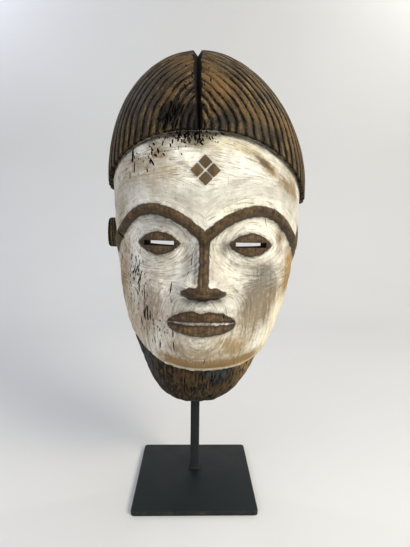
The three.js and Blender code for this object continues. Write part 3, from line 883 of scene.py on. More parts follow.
# Stains and worn places, and on the face some painted shade and painted warm light: x, z, half width,
# half height in mm, lean in degrees, colour, strength
clayStainsAndPaintedLight = [
    (-36, 98, 15, 28, 8, "#a99988", 0.65),
    (-36, 92, 8, 15, 8, "#988270", 0.55),
    (-46, 76, 9, 14, -20, "#c2ad90", 0.6),
    (-59, 108, 8, 30, 0, "#9c7d4e", 0.75),
    (-61, 150, 7, 20, 0, "#a58a60", 0.6),
    (-52, 184, 10, 13, 0, "#b8a98e", 0.6),
    (-36, 181, 17, 7, 5, "#b59c76", 0.4),
    (-42, 189, 9, 5, 10, "#9d8265", 0.5),
    (-30, 195, 8, 5.5, 20, "#80674a", 0.7),
    (-20, 185, 14, 6, 0, "#b9a98a", 0.35),
    (-20, 204, 12, 4, 12, "#8d8070", 0.5),
    (-4, 202.5, 8, 6, 0, "#4d4436", 1),
    (-10, 207, 16, 3, 0, "#33281e", 0.9),
    (-34, 202, 12, 3, 22, "#857766", 0.4),
    (-30, 155, 20, 10, 0, "#a8a39a", 0.65),
    (-11, 128, 5, 18, 0, "#9d968a", 0.6),
    (12, 135, 5, 7, 0, "#857e72", 0.65),
    (52, 144, 4, 9, 0, "#84653f", 0.8),
    (30, 124, 16, 5, 0, "#b3ab9b", 0.6),
    (25, 197, 7, 2.4, 28, "#a09274", 0.7),
    (36, 192, 8, 2.6, 32, "#6f5c40", 0.85),
    (43, 186, 7, 3.4, 38, "#8f7244", 0.75),
    (39, 189.5, 6, 1.3, 36, "#4e3b25", 0.85),
    (55, 178, 4, 7, -36, "#94794c", 0.75),
    # the next two: painted warm light, the right of the forehead and brows yellower where the light
    # falls
    (18, 201, 22, 6, 0, "#e9dfb8", 0.5),
    (20, 160, 22, 8, 0, "#e9e3c8", 0.5),
    (36, 106, 11, 17, 20, "#7f7668", 0.9),
    (46, 99, 8, 19, 14, "#84745a", 0.8),
    (31, 88, 10, 14, 15, "#97886f", 0.8),
    (41, 118, 9, 7, 0, "#7d7c78", 0.75),
    # painted shade: the grey of the philtrum under the nose
    (0, 100, 14, 3.6, 0, "#908e80", 0.65),
    (2, 78, 16, 9, 0, "#b5ab98", 0.55),
    (-14, 69, 11, 7, 0, "#a4907c", 0.75),
    (22, 70, 12, 8, 20, "#a58c60", 0.85),
    (3, 65, 18, 6, 0, "#a4947b", 0.85),
    (62, 176, 4, 12, -14, "#9b7c4c", 0.6),
]
hairStains = [
    (32, 221, 13, 7, 30, "#6b532f", 0.45),
    (12, 236, 9, 9, 30, "#7a5c34", 0.55),
    (57, 217, 6, 11, -30, "#7d5f34", 0.5),
    (5, 246, 7, 14, 0, "#6a5230", 0.55),
    (40, 246, 14, 8, -35, "#58442a", 0.4),
    (-11, 258, 6, 9, 0, "#69502d", 0.55),
    (-19, 249, 8, 6, 35, "#554228", 0.45),
    (-45, 235, 18, 26, 30, "#38322a", 0.5),
    (-66, 205, 8, 18, 0, "#4a3a24", 0.4),
    (44, 206, 12, 7, -35, "#100c08", 0.45),
    (66, 196, 6, 16, -10, "#57452a", 0.5),
    (-20, 218, 10, 10, 0, "#0e0a08", 0.95),
    (-10, 216, 6, 10, 0, "#140f0b", 0.85),
    (12, 214, 14, 7, -10, "#2c2720", 0.6),
    (32, 209, 12, 6, -25, "#453e31", 0.5),
    (-21, 231, 2.6, 2.4, 30, "#705530", 0.5),
    (-31, 220, 1.8, 4, 30, "#644d2c", 0.55),
    (-26, 226, 1.5, 4, 35, "#6f5531", 0.5),
    (-12, 226, 1.5, 6, 5, "#5d4a30", 0.5),
    (-17, 212, 1.4, 4, 20, "#54432b", 0.5),
]
collarStains = [
    (38, 50, 9, 16, 0, "#957848", 0.95),
    (30, 32, 10, 12, 20, "#6d5330", 0.6),
    (15, 47, 8, 6, 0, "#363d41", 0.9),
    (-40, 52, 7, 16, -20, "#373d40", 0.9),
    (-8, 44, 12, 9, 0, "#5c4526", 0.55),
    (5, 28, 16, 8, 0, "#503d24", 0.5),
    (-30, 60, 7, 4, 0, "#2a2f31", 0.6),
]


def blendStainsAndLight(x, z, stains, shaped):
    # Lays the stains, and the painted shade and light among them, over each other, and gives the colour
    # and how much of it covers the wood
    tone = np.zeros(x.shape + (3,))
    cover = np.zeros_like(x)
    layers = []
    for middleX, middleZ, halfWidth, halfHeight, lean, code, strength in stains:
        turn = math.radians(lean)
        across = (x - middleX) * math.cos(turn) - (z - middleZ) * math.sin(turn)
        upright = (x - middleX) * math.sin(turn) + (z - middleZ) * math.cos(turn)
        layers.append((strength * np.exp(-((across / halfWidth) ** 2) - (upright / halfHeight) ** 2),
                       code))
    for weight, code in layers + shaped:
        tone = tone * (1 - weight[:, None]) + np.array(colour(code)[:3]) * weight[:, None]
        cover = cover * (1 - weight) + weight
    return tone / np.maximum(cover, 1e-6)[:, None], cover


def markMask(mesh, at):
    # Marks where the wood is bare, stained or rubbed, where old dirt and painted shade lie in the
    # folds, and where light is painted on, from the carved forms and the lists above
    x, y, z = at.T
    low = maskForm["faceHalfBreadth"] * np.sqrt(np.maximum(0, 1 - ((widest - z) / widest) ** 2))
    rim = np.where(z < widest, low, maskForm["faceHalfBreadth"])
    edge = z - jawEdge(x)
    store(mesh, "bare", bareMargin(x, z))
    store(mesh, "collar", -edge)
    store(mesh, "stroke", strokeFlow(x, z))
    store(mesh, "shadeAndDirt", shadeAndDirtHeld(x, z))

    rightRim = np.where(x > 0, rim - x, 99)
    shaped = [
        (0.85 * ease(19, 8, rightRim) * ease(150, 126, z) * ease(84, 98, z), "#a5824c"),
        # a painted highlight: a cream strip along the right rim of the jaw
        (0.9 * ease(3, 6, rightRim) * ease(20, 12, rightRim) * ease(108, 92, z), "#f6edd2"),
        (0.95 * ease(12, 5, edge) * ease(-38, -16, x) * ease(50, 34, x), "#8c6d3c"),
        (0.5 * ease(6, 2.5, edge) * ease(-20, -8, x) * ease(30, 14, x), "#6b5434"),
        (0.75 * ease(1.3, 0.5, np.abs(edge - 0.8)) * ease(-26, -14, x), "#d9cdb2"),
        (0.85 * ease(-17, -7, y) * ease(40, 60, z), "#8b6a3f"),
        # painted shade: a dark line just under the hair's overhanging edge
        (0.6 * ease(2.6, 0.8, np.abs(z - hairlineAt(x) + 1)), "#4f4234"),
    ]
    clayStainAndLightTone, clayStainAndLightCover = blendStainsAndLight(x, z, clayStainsAndPaintedLight, shaped)
    woodTone, woodCover = blendStainsAndLight(x, z, hairStains, [])
    bandTone, bandCover = blendStainsAndLight(x, z, collarStains, [])
    onHair = (z > hairlineAt(x) - 0.6)[:, None]
    onBand = (edge < 0)[:, None]
    tone = np.where(onHair, woodTone, np.where(onBand, bandTone, clayStainAndLightTone))
    cover = np.where(onHair, woodCover[:, None],
                     np.where(onBand, bandCover[:, None], clayStainAndLightCover[:, None]))
    store(mesh, "stainAndLightTone", tone)
    store(mesh, "stainAndLightCover", cover[:, 0])

    pits = np.maximum.reduce([
        swell(x, z, -46, 112, 11, 34), 1.15 * swell(x, z, -12, 204, 22, 8),
        0.7 * swell(x, z, -50, 190, 14, 14), 0.7 * swell(x, z, -30, 84, 16, 18), 0.25 + 0 * x,
    ])
    store(mesh, "pits", pits)
    side, out = hairCoordinates(x, np.maximum(z, 100))
    store(mesh, "comb", np.stack([combPhase(side, out), side * 60 * (0.2 + out), side * 4], axis=-1))
    store(mesh, "rubbed", hairRubbed(side, out) - 0.4 * swell(x, z, 42, 205, 32, 22) - 0.1)


def placeMask(at):
    # Bows the middle line, stands the mask on its stand and turns it a little
    bowed = at.copy()
    bowed[:, 0] += maskForm["bow"] * np.sin(np.pi * np.clip(at[:, 2] / maskForm["height"], 0, 1))
    turn = Matrix.Rotation(math.radians(maskForm["yaw"]), 3, "Z") @ Matrix.Rotation(
        math.radians(maskForm["roll"]), 3, "Y")
    placed = bowed @ np.array(turn).T + np.array([0, maskForm["back"], maskForm["foot"]])
    return placed * mm


def finishMask(mask):
    mesh = mask.data
    at = np.empty(len(mesh.vertices) * 3, dtype=np.float32)
    mesh.vertices.foreach_get("co", at)
    at = at.reshape(-1, 3).astype(float)
    markMask(mesh, at)
    mesh.vertices.foreach_set("co", placeMask(at).astype(np.float32).ravel())
    mesh.update()
    smooth(mesh, 42)
    mask.name = mesh.name = "maskWood"
    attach(mask, "root")
    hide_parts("mask")


kaolinLook = {
    "bright": "#f6f3e6",
    "dusty": "#d3ccbd",
    "stroke": "#857967",
    "speck": "#241810",
    "shadeAndDirt": "#2b2117",
    "bareDark": "#2e2216",
    "bareMiddle": "#52402a",
    "bareLight": "#7a6040",
    "collarBlack": "#090705",
    "collarBrown": "#251b0f",
    "collarLight": "#5a4425",
}


def makeKaolin():
    # White kaolin clay brushed thinly over a carved light hardwood. It is dull and chalky, drawn out
    # in fine curved strokes, rubbed back to brown wood on the raised forms and stained black under
    # the jaw. Shade is painted into its folds and under the hair, and light is painted on its right.
    look = kaolinLook
    m, place, inMm = newMaterial("brushedKaolinOverHardwood")
    bare, collar, cover, pits, shadeAndDirt = [
        addNode(m, "ShaderNodeAttribute", output="Fac", attribute_name=name)
        for name in ("bare", "collar", "stainAndLightCover", "pits", "shadeAndDirt")]
    tone = addNode(m, "ShaderNodeAttribute", output="Color", attribute_name="stainAndLightTone")
    stroke = addNode(m, "ShaderNodeAttribute", output="Vector", attribute_name="stroke")

    # brush strokes about 2 mm wide and 20 mm long, and hairs of the brush 0.7 mm wide and 10 mm long,
    # which is as fine as the render shows
    wide = addNode(m, "ShaderNodeMapping", {"Vector": stroke, "Scale": (0.55, 0.05, 1)})
    strokes = addNode(m, "ShaderNodeTexNoise", {
        "Vector": wide, "Scale": 1, "Detail": 5, "Roughness": 0.75, "Distortion": 0.3})
    close = addNode(m, "ShaderNodeMapping", {"Vector": stroke, "Scale": (1.4, 0.1, 2)})
    hairs = addNode(m, "ShaderNodeTexNoise",
                    {"Vector": close, "Scale": 1, "Detail": 3, "Distortion": 0.5})
    cloud = addNode(m, "ShaderNodeTexNoise",
                    {"Vector": inMm, "Scale": 0.045, "Detail": 5, "Roughness": 0.65})
    patch = addNode(m, "ShaderNodeTexNoise",
                    {"Vector": inMm, "Scale": 0.3, "Detail": 4, "Roughness": 0.7})
    # the grain runs up the block, 1.4 mm wide; it is drawn long in depth too, so slopes keep its lines
    upright = addNode(m, "ShaderNodeMapping", {"Vector": place, "Scale": (900, 80, 75)})
    grain = addNode(m, "ShaderNodeTexNoise",
                    {"Vector": upright, "Scale": 0.8, "Detail": 5, "Roughness": 0.65})

    strokeLine = addNode(m, "ShaderNodeMapRange", {0: strokes, 1: 0.54, 2: 0.74, 3: 0, 4: 0.55})
    hairLine = addNode(m, "ShaderNodeMapRange", {0: hairs, 1: 0.55, 2: 0.68, 3: 0, 4: 0.65})
    lines = addNode(m, "ShaderNodeMath", {0: strokeLine, 1: hairLine}, operation="MAXIMUM")
    clay = addNode(m, "ShaderNodeValToRGB", {"Fac": cloud}, output="Color", stops=[
        (0.36, look["dusty"]), (0.56, look["bright"])])
    # the stains, and the painted shade and light among them, are broken up by the strokes and by
    # patches of clay that held on
    broken = addNode(m, "ShaderNodeMath", {0: strokes, 1: patch}, operation="ADD")
    brokenShare = addNode(m, "ShaderNodeMapRange", {0: broken, 1: 0.75, 2: 1.25, 3: -0.25, 4: 0.25})
    stainHere = addNode(m, "ShaderNodeMath", {0: cover, 1: brokenShare}, operation="ADD")
    stainShare = addNode(m, "ShaderNodeMapRange", {0: stainHere, 1: 0.1, 2: 0.8, 3: 0, 4: 0.95})
    # the clay has worn off the grain in flecks about 1 mm wide, most where it is stained
    fleckHere = addNode(m, "ShaderNodeMath", {0: stainShare, 1: 0.12, 2: grain},
                        operation="MULTIPLY_ADD")
    fleckShare = addNode(m, "ShaderNodeMapRange", {0: fleckHere, 1: 0.63, 2: 0.8, 3: 0, 4: 0.45})

    # pores and worm holes about 1 mm across, upright like the grain
    tall = addNode(m, "ShaderNodeMapping", {"Vector": place, "Scale": (560, 300, 200)})
    pores = addNode(m, "ShaderNodeTexVoronoi", {"Vector": tall, "Scale": 1}, output="Distance")
    poreSize = addNode(m, "ShaderNodeMath", {0: pits, 1: patch}, operation="MULTIPLY")
    poreRoom = addNode(m, "ShaderNodeMath", {0: poreSize, 1: 0.75, 2: -0.03}, operation="MULTIPLY_ADD")
    poreGap = addNode(m, "ShaderNodeMath", {0: poreRoom, 1: pores}, operation="SUBTRACT")
    poreShare = addNode(m, "ShaderNodeMapRange", {0: poreGap, 1: -0.03, 2: 0.05, 3: 0, 4: 0.95})

    # bare wood, darkened by handling
    mottle = addNode(m, "ShaderNodeMix", {0: 0.6, 2: grain, 3: patch}, data_type="FLOAT")
    wood = addNode(m, "ShaderNodeValToRGB", {"Fac": mottle}, output="Color", stops=[
        (0.38, look["bareDark"]), (0.5, look["bareMiddle"]), (0.63, look["bareLight"])])
    woodShade = addNode(m, "ShaderNodeMapRange", {0: bare, 1: 0.1, 2: 1.5, 3: 0.7, 4: 0})
    wood = addNode(m, "ShaderNodeMix", {0: woodShade, 6: wood, 7: look["bareDark"]}, data_type="RGBA")
    bareEdge = addNode(m, "ShaderNodeMath", {0: patch, 1: 2.4, 2: -1.2}, operation="MULTIPLY_ADD")
    bareHere = addNode(m, "ShaderNodeMath", {0: bare, 1: bareEdge}, operation="ADD")
    bareShare = addNode(m, "ShaderNodeMapRange", {0: bareHere, 1: -0.4, 2: 0.4, 3: 0, 4: 1})
    # painted shade with old dirt in the folds, in patches
    shadeAndDirtHere = addNode(m, "ShaderNodeMath", {0: patch, 1: 1.6, 2: -0.1}, operation="MULTIPLY_ADD")
    shadeAndDirtShare = addNode(m, "ShaderNodeMath", {0: shadeAndDirt, 1: shadeAndDirtHere}, operation="MULTIPLY",
                        use_clamp=True)

    # the stained band under the jaw, fibrous, with black splinters about 1.6 mm wide and 11 mm long
    fibre = addNode(m, "ShaderNodeMapping", {"Vector": place, "Scale": (620, 130, 90)})
    fibres = addNode(m, "ShaderNodeTexNoise",
                     {"Vector": fibre, "Scale": 1, "Detail": 4, "Roughness": 0.7})
    band = addNode(m, "ShaderNodeValToRGB", {"Fac": fibres}, output="Color", stops=[
        (0.44, look["collarBlack"]), (0.5, look["collarBrown"]), (0.63, look["collarLight"])])
    bandSplit = addNode(m, "ShaderNodeMapRange", {0: fibres, 1: 0.41, 2: 0.5, 3: 0.1, 4: 1})
    bandStain = addNode(m, "ShaderNodeMath", {0: stainShare, 1: bandSplit}, operation="MULTIPLY")
    band = addNode(m, "ShaderNodeMix", {0: bandStain, 6: band, 7: tone}, data_type="RGBA")
    bandEdge = addNode(m, "ShaderNodeMath", {0: patch, 1: 5, 2: -2.5}, operation="MULTIPLY_ADD")
    bandHere = addNode(m, "ShaderNodeMath", {0: collar, 1: bandEdge}, operation="ADD")
    bandShare = addNode(m, "ShaderNodeMapRange", {0: bandHere, 1: -0.3, 2: 0.9, 3: 0, 4: 1})

    skin = clay
    for share, coat in ((stainShare, tone), (lines, look["stroke"]), (fleckShare, look["bareMiddle"]),
                        (poreShare, look["speck"]), (bareShare, wood), (shadeAndDirtShare, look["shadeAndDirt"]),
                        (bandShare, band)):
        skin = addNode(m, "ShaderNodeMix", {0: share, 6: skin, 7: coat}, data_type="RGBA")

    chalky = addNode(m, "ShaderNodeMath", {0: bareShare, 1: -0.38, 2: 0.88}, operation="MULTIPLY_ADD")
    lineDip = addNode(m, "ShaderNodeMath", {0: lines, 1: -0.8, 2: 0}, operation="MULTIPLY_ADD")
    poreDip = addNode(m, "ShaderNodeMath", {0: poreShare, 1: -1.5, 2: lineDip},
                      operation="MULTIPLY_ADD")
    height = addNode(m, "ShaderNodeMath", {0: fibres, 1: bandShare, 2: poreDip},
                     operation="MULTIPLY_ADD")
    height = addNode(m, "ShaderNodeMath", {0: patch, 1: 0.6, 2: height}, operation="MULTIPLY_ADD")
    bump = addNode(m, "ShaderNodeBump", {"Height": height, "Strength": 0.8, "Distance": 0.0007})
    shader = addNode(m, "ShaderNodeBsdfPrincipled", {
        "Base Color": skin, "Roughness": chalky, "Normal": bump, "IOR": 1.45,
        "Specular IOR Level": 0.3})
    addNode(m, "ShaderNodeOutputMaterial", {"Surface": shader})
    return m


hairLook = {
    "valley": "#050302",
    "flank": "#170f08",
    "ridge": "#3d301b",
    "worn": "#7c6136",
    "grey": "#3c362c",
    "paintedGlint": "#8d7a55",
}


def makeCombedHair():
    # Dark-stained hardwood cut into combed ridges. The grooves keep the stain and old dirt, and hands
    # have worn the ridges back to a paler brown with a low shine; pale glints along the ridges are
    # painted highlights.
    look = hairLook
    m, _, inMm = newMaterial("carvedStainedHardwood")
    comb = addNode(m, "ShaderNodeAttribute", output="Vector", attribute_name="comb")
    rubbed = addNode(m, "ShaderNodeAttribute", output="Fac", attribute_name="rubbed")
    tone = addNode(m, "ShaderNodeAttribute", output="Color", attribute_name="stainAndLightTone")
    cover = addNode(m, "ShaderNodeAttribute", output="Fac", attribute_name="stainAndLightCover")
    phase = addNode(m, "ShaderNodeSeparateXYZ", {0: comb}, output="X")
    cloud = addNode(m, "ShaderNodeTexNoise",
                    {"Vector": inMm, "Scale": 0.07, "Detail": 4, "Roughness": 0.6})
    patch = addNode(m, "ShaderNodeTexNoise",
                    {"Vector": inMm, "Scale": 0.35, "Detail": 4, "Roughness": 0.7})
    # fibres about 1.2 mm wide that run along the ridges, three to a ridge
    strand = addNode(m, "ShaderNodeMapping", {"Vector": comb, "Scale": (3.2, 0.09, 1)})
    strands = addNode(m, "ShaderNodeTexNoise",
                      {"Vector": strand, "Scale": 1, "Detail": 4, "Roughness": 0.75})
    shift = addNode(m, "ShaderNodeMath", {0: patch, 1: 0.08, 2: phase}, operation="MULTIPLY_ADD")
    turned = addNode(m, "ShaderNodeMath", {0: shift, 1: math.pi}, operation="MULTIPLY")
    wave = addNode(m, "ShaderNodeMath", {0: turned}, operation="SINE")
    wave = addNode(m, "ShaderNodeMath", {0: wave}, operation="ABSOLUTE")
    # 0 in a groove and 1 on a ridge; where the hair is rubbed, in patches about 15 mm wide, the
    # grooves are shallow and pale
    ridge = addNode(m, "ShaderNodeMath", {0: wave, 1: 0.8}, operation="POWER")
    rubHere = addNode(m, "ShaderNodeMath", {0: cloud, 1: 1.4, 2: rubbed}, operation="MULTIPLY_ADD")
    rubHere = addNode(m, "ShaderNodeMath", {0: rubHere, 1: 0.68}, operation="SUBTRACT")
    filled = addNode(m, "ShaderNodeMix", {0: rubHere, 2: ridge, 3: 0.72}, data_type="FLOAT",
                     clamp_factor=False)
    fray = addNode(m, "ShaderNodeMath", {0: strands, 1: 2.6, 2: -1.3}, operation="MULTIPLY_ADD")
    level = addNode(m, "ShaderNodeMath", {0: filled, 1: fray}, operation="ADD")
    # chips and pores about 1 mm across
    fleck = addNode(m, "ShaderNodeTexNoise",
                    {"Vector": inMm, "Scale": 0.9, "Detail": 3, "Roughness": 0.7})
    level = addNode(m, "ShaderNodeMath", {0: fleck, 1: 1.8, 2: level}, operation="MULTIPLY_ADD")
    level = addNode(m, "ShaderNodeMath", {0: level, 1: 0.9}, operation="SUBTRACT")
    wood = addNode(m, "ShaderNodeValToRGB", {"Fac": level}, output="Color", stops=[
        (0.15, look["valley"]), (0.38, look["flank"]), (0.72, look["ridge"])])
    wornHere = addNode(m, "ShaderNodeMath", {0: level, 1: cloud}, operation="MULTIPLY")
    wornShare = addNode(m, "ShaderNodeMapRange", {0: wornHere, 1: 0.44, 2: 0.62, 3: 0, 4: 0.9})
    # painted highlights: pale glints along the ridges, drawn where light would catch the fibres
    paintedGlint = addNode(m, "ShaderNodeMapRange", {0: strands, 1: 0.54, 2: 0.68, 3: 0, 4: 0.75})
    paintedGlintShare = addNode(m, "ShaderNodeMath", {0: paintedGlint, 1: ridge}, operation="MULTIPLY")
    greyShare = addNode(m, "ShaderNodeMapRange", {0: patch, 1: 0.5, 2: 0.7, 3: 0, 4: 0.6})
    stainDeep = addNode(m, "ShaderNodeMapRange", {0: level, 1: 0.15, 2: 0.6, 3: 0.25, 4: 1.25})
    stainHere = addNode(m, "ShaderNodeMath", {0: cover, 1: stainDeep}, operation="MULTIPLY")
    broken = addNode(m, "ShaderNodeMath", {0: patch, 1: 1.2, 2: -0.6}, operation="MULTIPLY_ADD")
    stainEdge = addNode(m, "ShaderNodeMath", {0: stainHere, 1: broken}, operation="ADD")
    stainShare = addNode(m, "ShaderNodeMapRange", {0: stainEdge, 1: 0.1, 2: 0.7, 3: 0, 4: 0.95})
    for share, coat in ((wornShare, look["worn"]), (paintedGlintShare, look["paintedGlint"]), (greyShare, look["grey"]),
                        (stainShare, tone)):
        wood = addNode(m, "ShaderNodeMix", {0: share, 6: wood, 7: coat}, data_type="RGBA")
    height = addNode(m, "ShaderNodeMath", {0: strands, 1: 0.9, 2: ridge}, operation="MULTIPLY_ADD")
    height = addNode(m, "ShaderNodeMath", {0: patch, 1: 0.9, 2: height}, operation="MULTIPLY_ADD")
    bump = addNode(m, "ShaderNodeBump", {"Height": height, "Strength": 0.8, "Distance": 0.001})
    dull = addNode(m, "ShaderNodeMapRange", {0: level, 1: 0.3, 2: 0.9, 3: 0.9, 4: 0.5})
    shader = addNode(m, "ShaderNodeBsdfPrincipled", {
        "Base Color": wood, "Roughness": dull, "Normal": bump, "IOR": 1.5, "Specular IOR Level": 0.2})
    addNode(m, "ShaderNodeOutputMaterial", {"Surface": shader})
    return m


def makeWood(name, dark, light, roughness, acrossScale=0.8):
    # Bare hardwood, its upright grain 1 to 2 mm apart
    m, place, inMm = newMaterial(name)
    upright = addNode(m, "ShaderNodeMapping", {"Vector": place, "Scale": (1000, 1000, 80)})
    grain = addNode(m, "ShaderNodeTexNoise", {
        "Vector": upright, "Scale": acrossScale, "Detail": 4, "Roughness": 0.65})
    patch = addNode(m, "ShaderNodeTexNoise", {"Vector": inMm, "Scale": 0.09, "Detail": 3})
    both = addNode(m, "ShaderNodeMath", {0: grain, 1: 0.6, 2: patch}, operation="MULTIPLY_ADD")
    wood = addNode(m, "ShaderNodeValToRGB", {"Fac": both}, output="Color",
                   stops=[(0.55, dark), (1.0, light)])
    bump = addNode(m, "ShaderNodeBump", {"Height": grain, "Strength": 0.5, "Distance": 0.0005})
    shader = addNode(m, "ShaderNodeBsdfPrincipled", {
        "Base Color": wood, "Roughness": roughness, "Normal": bump, "IOR": 1.5,
        "Specular IOR Level": 0.25})
    addNode(m, "ShaderNodeOutputMaterial", {"Surface": shader})
    return m


kaolin = makeKaolin()
combedHair = makeCombedHair()
# The inside was hollowed with an adze and never painted: dry brown wood, dull and a little smoky
hollowWood = makeWood("adzedBareHardwood", "#33241a", "#6d5036", 0.8, 0.5)
# The forehead ornament: bare wood rubbed smooth, a little warmer than the brows
lozengeWood = makeWood("rubbedHardwood", "#453727", "#73603f", 0.55)
# Inside the splits, the parting and the eye slits: near black, partly the dirt that has gathered there
# and partly painted shade, since hardly any light comes out
splitWood = makeWood("splitDirtyShadedHardwood", "#070504", "#1e150e", 0.95)
print("stage: wood and kaolin mixed")

mask = cutMask()
finishMask(mask)

standForm = {
    "plateSide": 100,
    "plateThickness": 4,
    "plateCorner": 3,
    "plateEdge": 0.5,
    "barSide": 8,
    "barEdge": 0.6,
    "barSetBack": 12,
    "bendRadius": 6,
    "armReach": 36,
    "weld": 1.6,  # the bead round the foot of the bar
}

steelLook = {
    "dark": "#0c1415",
    "light": "#121a1c",
    "rubbed": "#2e302d",
    "rimWidth": 1,  # mm
}


def makePaintedSteel():
    # Mild steel bar and plate with a sprayed matt black paint: an even charcoal skin with a very fine
    # orange-peel texture, a soft broad sheen, and edges where the paint has thinned to a greyer tone,
    # which also stand as a painted highlight along the plate's rim
    look = steelLook
    m, _, inMm = newMaterial("sprayedBlackSteel")
    # the peel is about 0.3 mm in life and drawn at 0.8 mm so that it shows
    peel = addNode(m, "ShaderNodeTexNoise", {"Vector": inMm, "Scale": 1.2, "Detail": 2})
    cloud = addNode(m, "ShaderNodeTexNoise", {"Vector": inMm, "Scale": 0.05, "Detail": 4})
    paint = addNode(m, "ShaderNodeValToRGB", {"Fac": cloud}, output="Color", stops=[
        (0.3, look["dark"]), (0.7, look["light"])])
    # knocks have rubbed the rim of the plate, over about 1 mm, in patches; the paler rim is also a
    # painted highlight along the edge
    outX, outY = [
        addNode(m, "ShaderNodeMath", {0: addNode(m, "ShaderNodeSeparateXYZ", {0: inMm}, output=axis)},
                operation="ABSOLUTE") for axis in "XY"]
    out = addNode(m, "ShaderNodeMath", {0: outX, 1: outY}, operation="MAXIMUM")
    half = standForm["plateSide"] / 2
    rim = addNode(m, "ShaderNodeMapRange",
                  {0: out, 1: half - look["rimWidth"], 2: half - 0.3, 3: 0, 4: 1})
    knocks = addNode(m, "ShaderNodeTexNoise",
                     {"Vector": inMm, "Scale": 0.15, "Detail": 4, "Roughness": 0.7})
    knocked = addNode(m, "ShaderNodeMapRange", {0: knocks, 1: 0.4, 2: 0.65, 3: 0.1, 4: 1})
    rimWearAndHighlight = addNode(m, "ShaderNodeMath", {0: rim, 1: knocked}, operation="MULTIPLY")
    paint = addNode(m, "ShaderNodeMix", {0: rimWearAndHighlight, 6: paint, 7: look["rubbed"]}, data_type="RGBA")
    dull = addNode(m, "ShaderNodeMapRange", {0: cloud, 1: 0.3, 2: 0.7, 3: 0.5, 4: 0.62})
    bump = addNode(m, "ShaderNodeBump", {"Height": peel, "Strength": 0.35, "Distance": 0.0001})
    shader = addNode(m, "ShaderNodeBsdfPrincipled", {
        "Base Color": paint, "Roughness": dull, "Normal": bump, "IOR": 1.5, "Specular IOR Level": 0.3})
    addNode(m, "ShaderNodeOutputMaterial", {"Surface": shader})
    return m


def makePlate(material):
    bm = bmesh.new()
    side, thick = standForm["plateSide"] * mm, standForm["plateThickness"] * mm
    bmesh.ops.create_cube(bm, size=1, matrix=Matrix.Translation((0, 0, thick / 2))
                          @ Matrix.Diagonal((side, side, thick, 1)))
    corners = [e for e in bm.edges if abs(e.verts[0].co.z - e.verts[1].co.z) > thick / 2]
    bevel(bm, corners, standForm["plateCorner"] * mm, 8)
    rims = [e for e in bm.edges if abs(e.verts[0].co.z - e.verts[1].co.z) < thick / 2]
    bevel(bm, rims, standForm["plateEdge"] * mm, 3)
    plate = newMesh(bm, "plate", [material])
    smooth(plate.data, 50)
    return plate


def makeBar(material, topHeight):
    # A square section that narrows out of its weld, goes up, bends forward and ends at the arm's tip
    side, foot, weld = standForm["barSide"], standForm["plateThickness"], standForm["weld"]
    bend = standForm["bendRadius"] + side
    bm = bmesh.new()
    start = Matrix.Translation((0, standForm["barSetBack"], foot))
    bmesh.ops.create_grid(bm, x_segments=1, y_segments=1, size=side / 2, matrix=start)
    bevel(bm, bm.verts[:], standForm["barEdge"], 3, affect="VERTICES")
    rim = bm.verts[:]
    _, section = drawOut(bm, bm.faces[:], (0, 0, weld))
    bmesh.ops.scale(bm, verts=rim, vec=(1 + 2 * weld / side, 1 + 2 * weld / side, 1),
                    space=start.inverted())
    _, section = drawOut(bm, section, (0, 0, topHeight - bend - foot - weld), closed=False)
    pivot = (0, standForm["barSetBack"] + side / 2 - bend, topHeight - bend)
    made = bmesh.ops.spin(bm, geom=section, cent=pivot, axis=(1, 0, 0), angle=math.pi / 2, steps=10)
    bmesh.ops.delete(bm, geom=section, context="FACES_ONLY")
    end = [part for part in made["geom_last"] if isinstance(part, bmesh.types.BMFace)]
    _, end = drawOut(bm, end, (0, standForm["bendRadius"] - standForm["armReach"], 0), closed=False)
    bevel(bm, end[0].edges[:], standForm["barEdge"], 3)
    bmesh.ops.scale(bm, verts=bm.verts, vec=(mm, mm, mm))
    bar = newMesh(bm, "bar", [material])
    smooth(bar.data, 50)
    return bar


paintedSteel = makePaintedSteel()
plate = makePlate(paintedSteel)
bar = makeBar(paintedSteel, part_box("stand_bar")[1][2] / mm)
for piece, node in ((plate, "stand_plate"), (bar, "stand_bar")):
    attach(piece, "root")
    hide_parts(node)
print("stage: stand made")

studio = {
    "halfWidth": 2.4,  # metres
    "front": -1.6,
    "wall": 1.1,
    "cove": 0.5,
    "top": 2.4,
    "rows": 30,  # of the mesh, from the front of the floor to the top of the wall
    "flatRows": 5,  # of these on the floor, and again on the wall
    "paper": "#e8e8e6",
    "paperShade": "#e5e5e3",
    "sky": "#e3e7f2",
    "skyStrength": 0.31,
}

# name, place, target, size in metres, watts, colour
lamps = [
    ("keySoftbox", (0.75, -0.75, 0.72), (0, 0, 0.22), (0.42, 0.42), 11, "#fff8e6"),
    ("overhead", (0.2, -0.25, 1.0), (0.15, -0.1, 0), (0.6, 0.6), 2.2, "#f6f8ff"),
    ("leftFill", (-0.5, -0.5, 0.42), (0, 0, 0.2), (0.45, 0.45), 1.5, "#e9ecf6"),
    ("wallRight", (1.1, 0.6, 1.4), (0.8, 1.1, 1.1), (0.4, 0.4), 6.5, "#fffdf6"),
    ("wallLeft", (-1.0, 0.7, 1.35), (-0.75, 1.1, 1.05), (0.2, 0.2), 5.2, "#e4e9ff"),
]


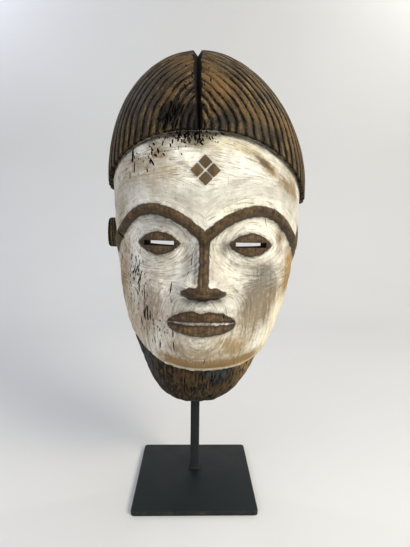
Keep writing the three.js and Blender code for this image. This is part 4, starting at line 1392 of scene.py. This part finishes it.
def makeBackdrop():
    # White paper hung on the wall and run forward over the table in one sweep, dull and even
    look = studio
    m, place, _ = newMaterial("whiteBackgroundPaper")
    cloud = addNode(m, "ShaderNodeTexNoise", {"Vector": place, "Scale": 3, "Detail": 2})
    paper = addNode(m, "ShaderNodeValToRGB", {"Fac": cloud}, output="Color", stops=[
        (0.3, look["paperShade"]), (0.7, look["paper"])])
    shader = addNode(m, "ShaderNodeBsdfPrincipled", {"Base Color": paper, "Roughness": 0.9})
    addNode(m, "ShaderNodeOutputMaterial", {"Surface": shader})
    bm = bmesh.new()
    rows, flat, cove = look["rows"], look["flatRows"], look["cove"]
    curved = rows - 2 * flat
    bmesh.ops.create_grid(bm, x_segments=4, y_segments=rows, size=1)
    for vert in bm.verts:
        row = round((vert.co.y + 1) * rows / 2)
        angle = min(max(row - flat, 0), curved) / curved * math.pi / 2
        y = look["wall"] - cove + cove * math.sin(angle)
        z = cove - cove * math.cos(angle)
        if row < flat:
            y = look["front"] + (look["wall"] - cove - look["front"]) * row / flat
        if row > flat + curved:
            z = cove + (look["top"] - cove) * (row - flat - curved) / flat
        vert.co = (vert.co.x * look["halfWidth"], y, z)
    backdrop = newMesh(bm, "backdrop", [m])
    backdrop.data.shade_smooth()


def addLight(name, place, target, size, power, code):
    light = bpy.data.lights.new(name, "AREA")
    light.shape = "RECTANGLE"
    light.size, light.size_y = size
    light.energy = power
    light.color = colour(code)[:3]
    lamp = bpy.data.objects.new(name, light)
    lamp.location = place
    lamp.rotation_euler = (Vector(target) - Vector(place)).to_track_quat("-Z", "Y").to_euler()
    bpy.context.scene.collection.objects.link(lamp)


makeBackdrop()
for lamp in lamps:
    addLight(*lamp)

world = bpy.data.worlds.new("paleRoom")
world.use_nodes = True
world.node_tree.nodes["Background"].inputs["Color"].default_value = colour(studio["sky"])
world.node_tree.nodes["Background"].inputs["Strength"].default_value = studio["skyStrength"]
bpy.context.scene.world = world
bpy.context.scene.view_settings.view_transform = "Standard"

cameraForm = {
    "place": (-0.0025, -0.3486, 0.2243),  # metres
    "lens": 27.05,  # mm, on a sensor 36 mm high
    "down": 6.35,  # degrees
    "left": -1.59,
    "tilt": 0.74,
}


def addCamera():
    down, left, tilt = (math.radians(cameraForm[key]) for key in ("down", "left", "tilt"))
    level = Vector((math.cos(left), math.sin(left), 0))
    ahead = Vector((-math.sin(left), math.cos(left), 0))
    over = ahead * math.sin(down) + Vector((0, 0, math.cos(down)))
    forward = ahead * math.cos(down) - Vector((0, 0, math.sin(down)))
    right = level * math.cos(tilt) + over * math.sin(tilt)
    up = over * math.cos(tilt) - level * math.sin(tilt)
    camera = bpy.data.cameras.new("camera")
    camera.lens = cameraForm["lens"]
    camera.sensor_width = 36
    camera.sensor_fit = "AUTO"
    camera.clip_start = 0.01
    rig = bpy.data.objects.new("camera", camera)
    rig.matrix_world = Matrix.Translation(cameraForm["place"]) @ Matrix(
        (right, up, -forward)).transposed().to_4x4()
    bpy.context.scene.collection.objects.link(rig)
    bpy.context.scene.camera = rig


addCamera()
print("stage: backdrop, lights and camera placed")
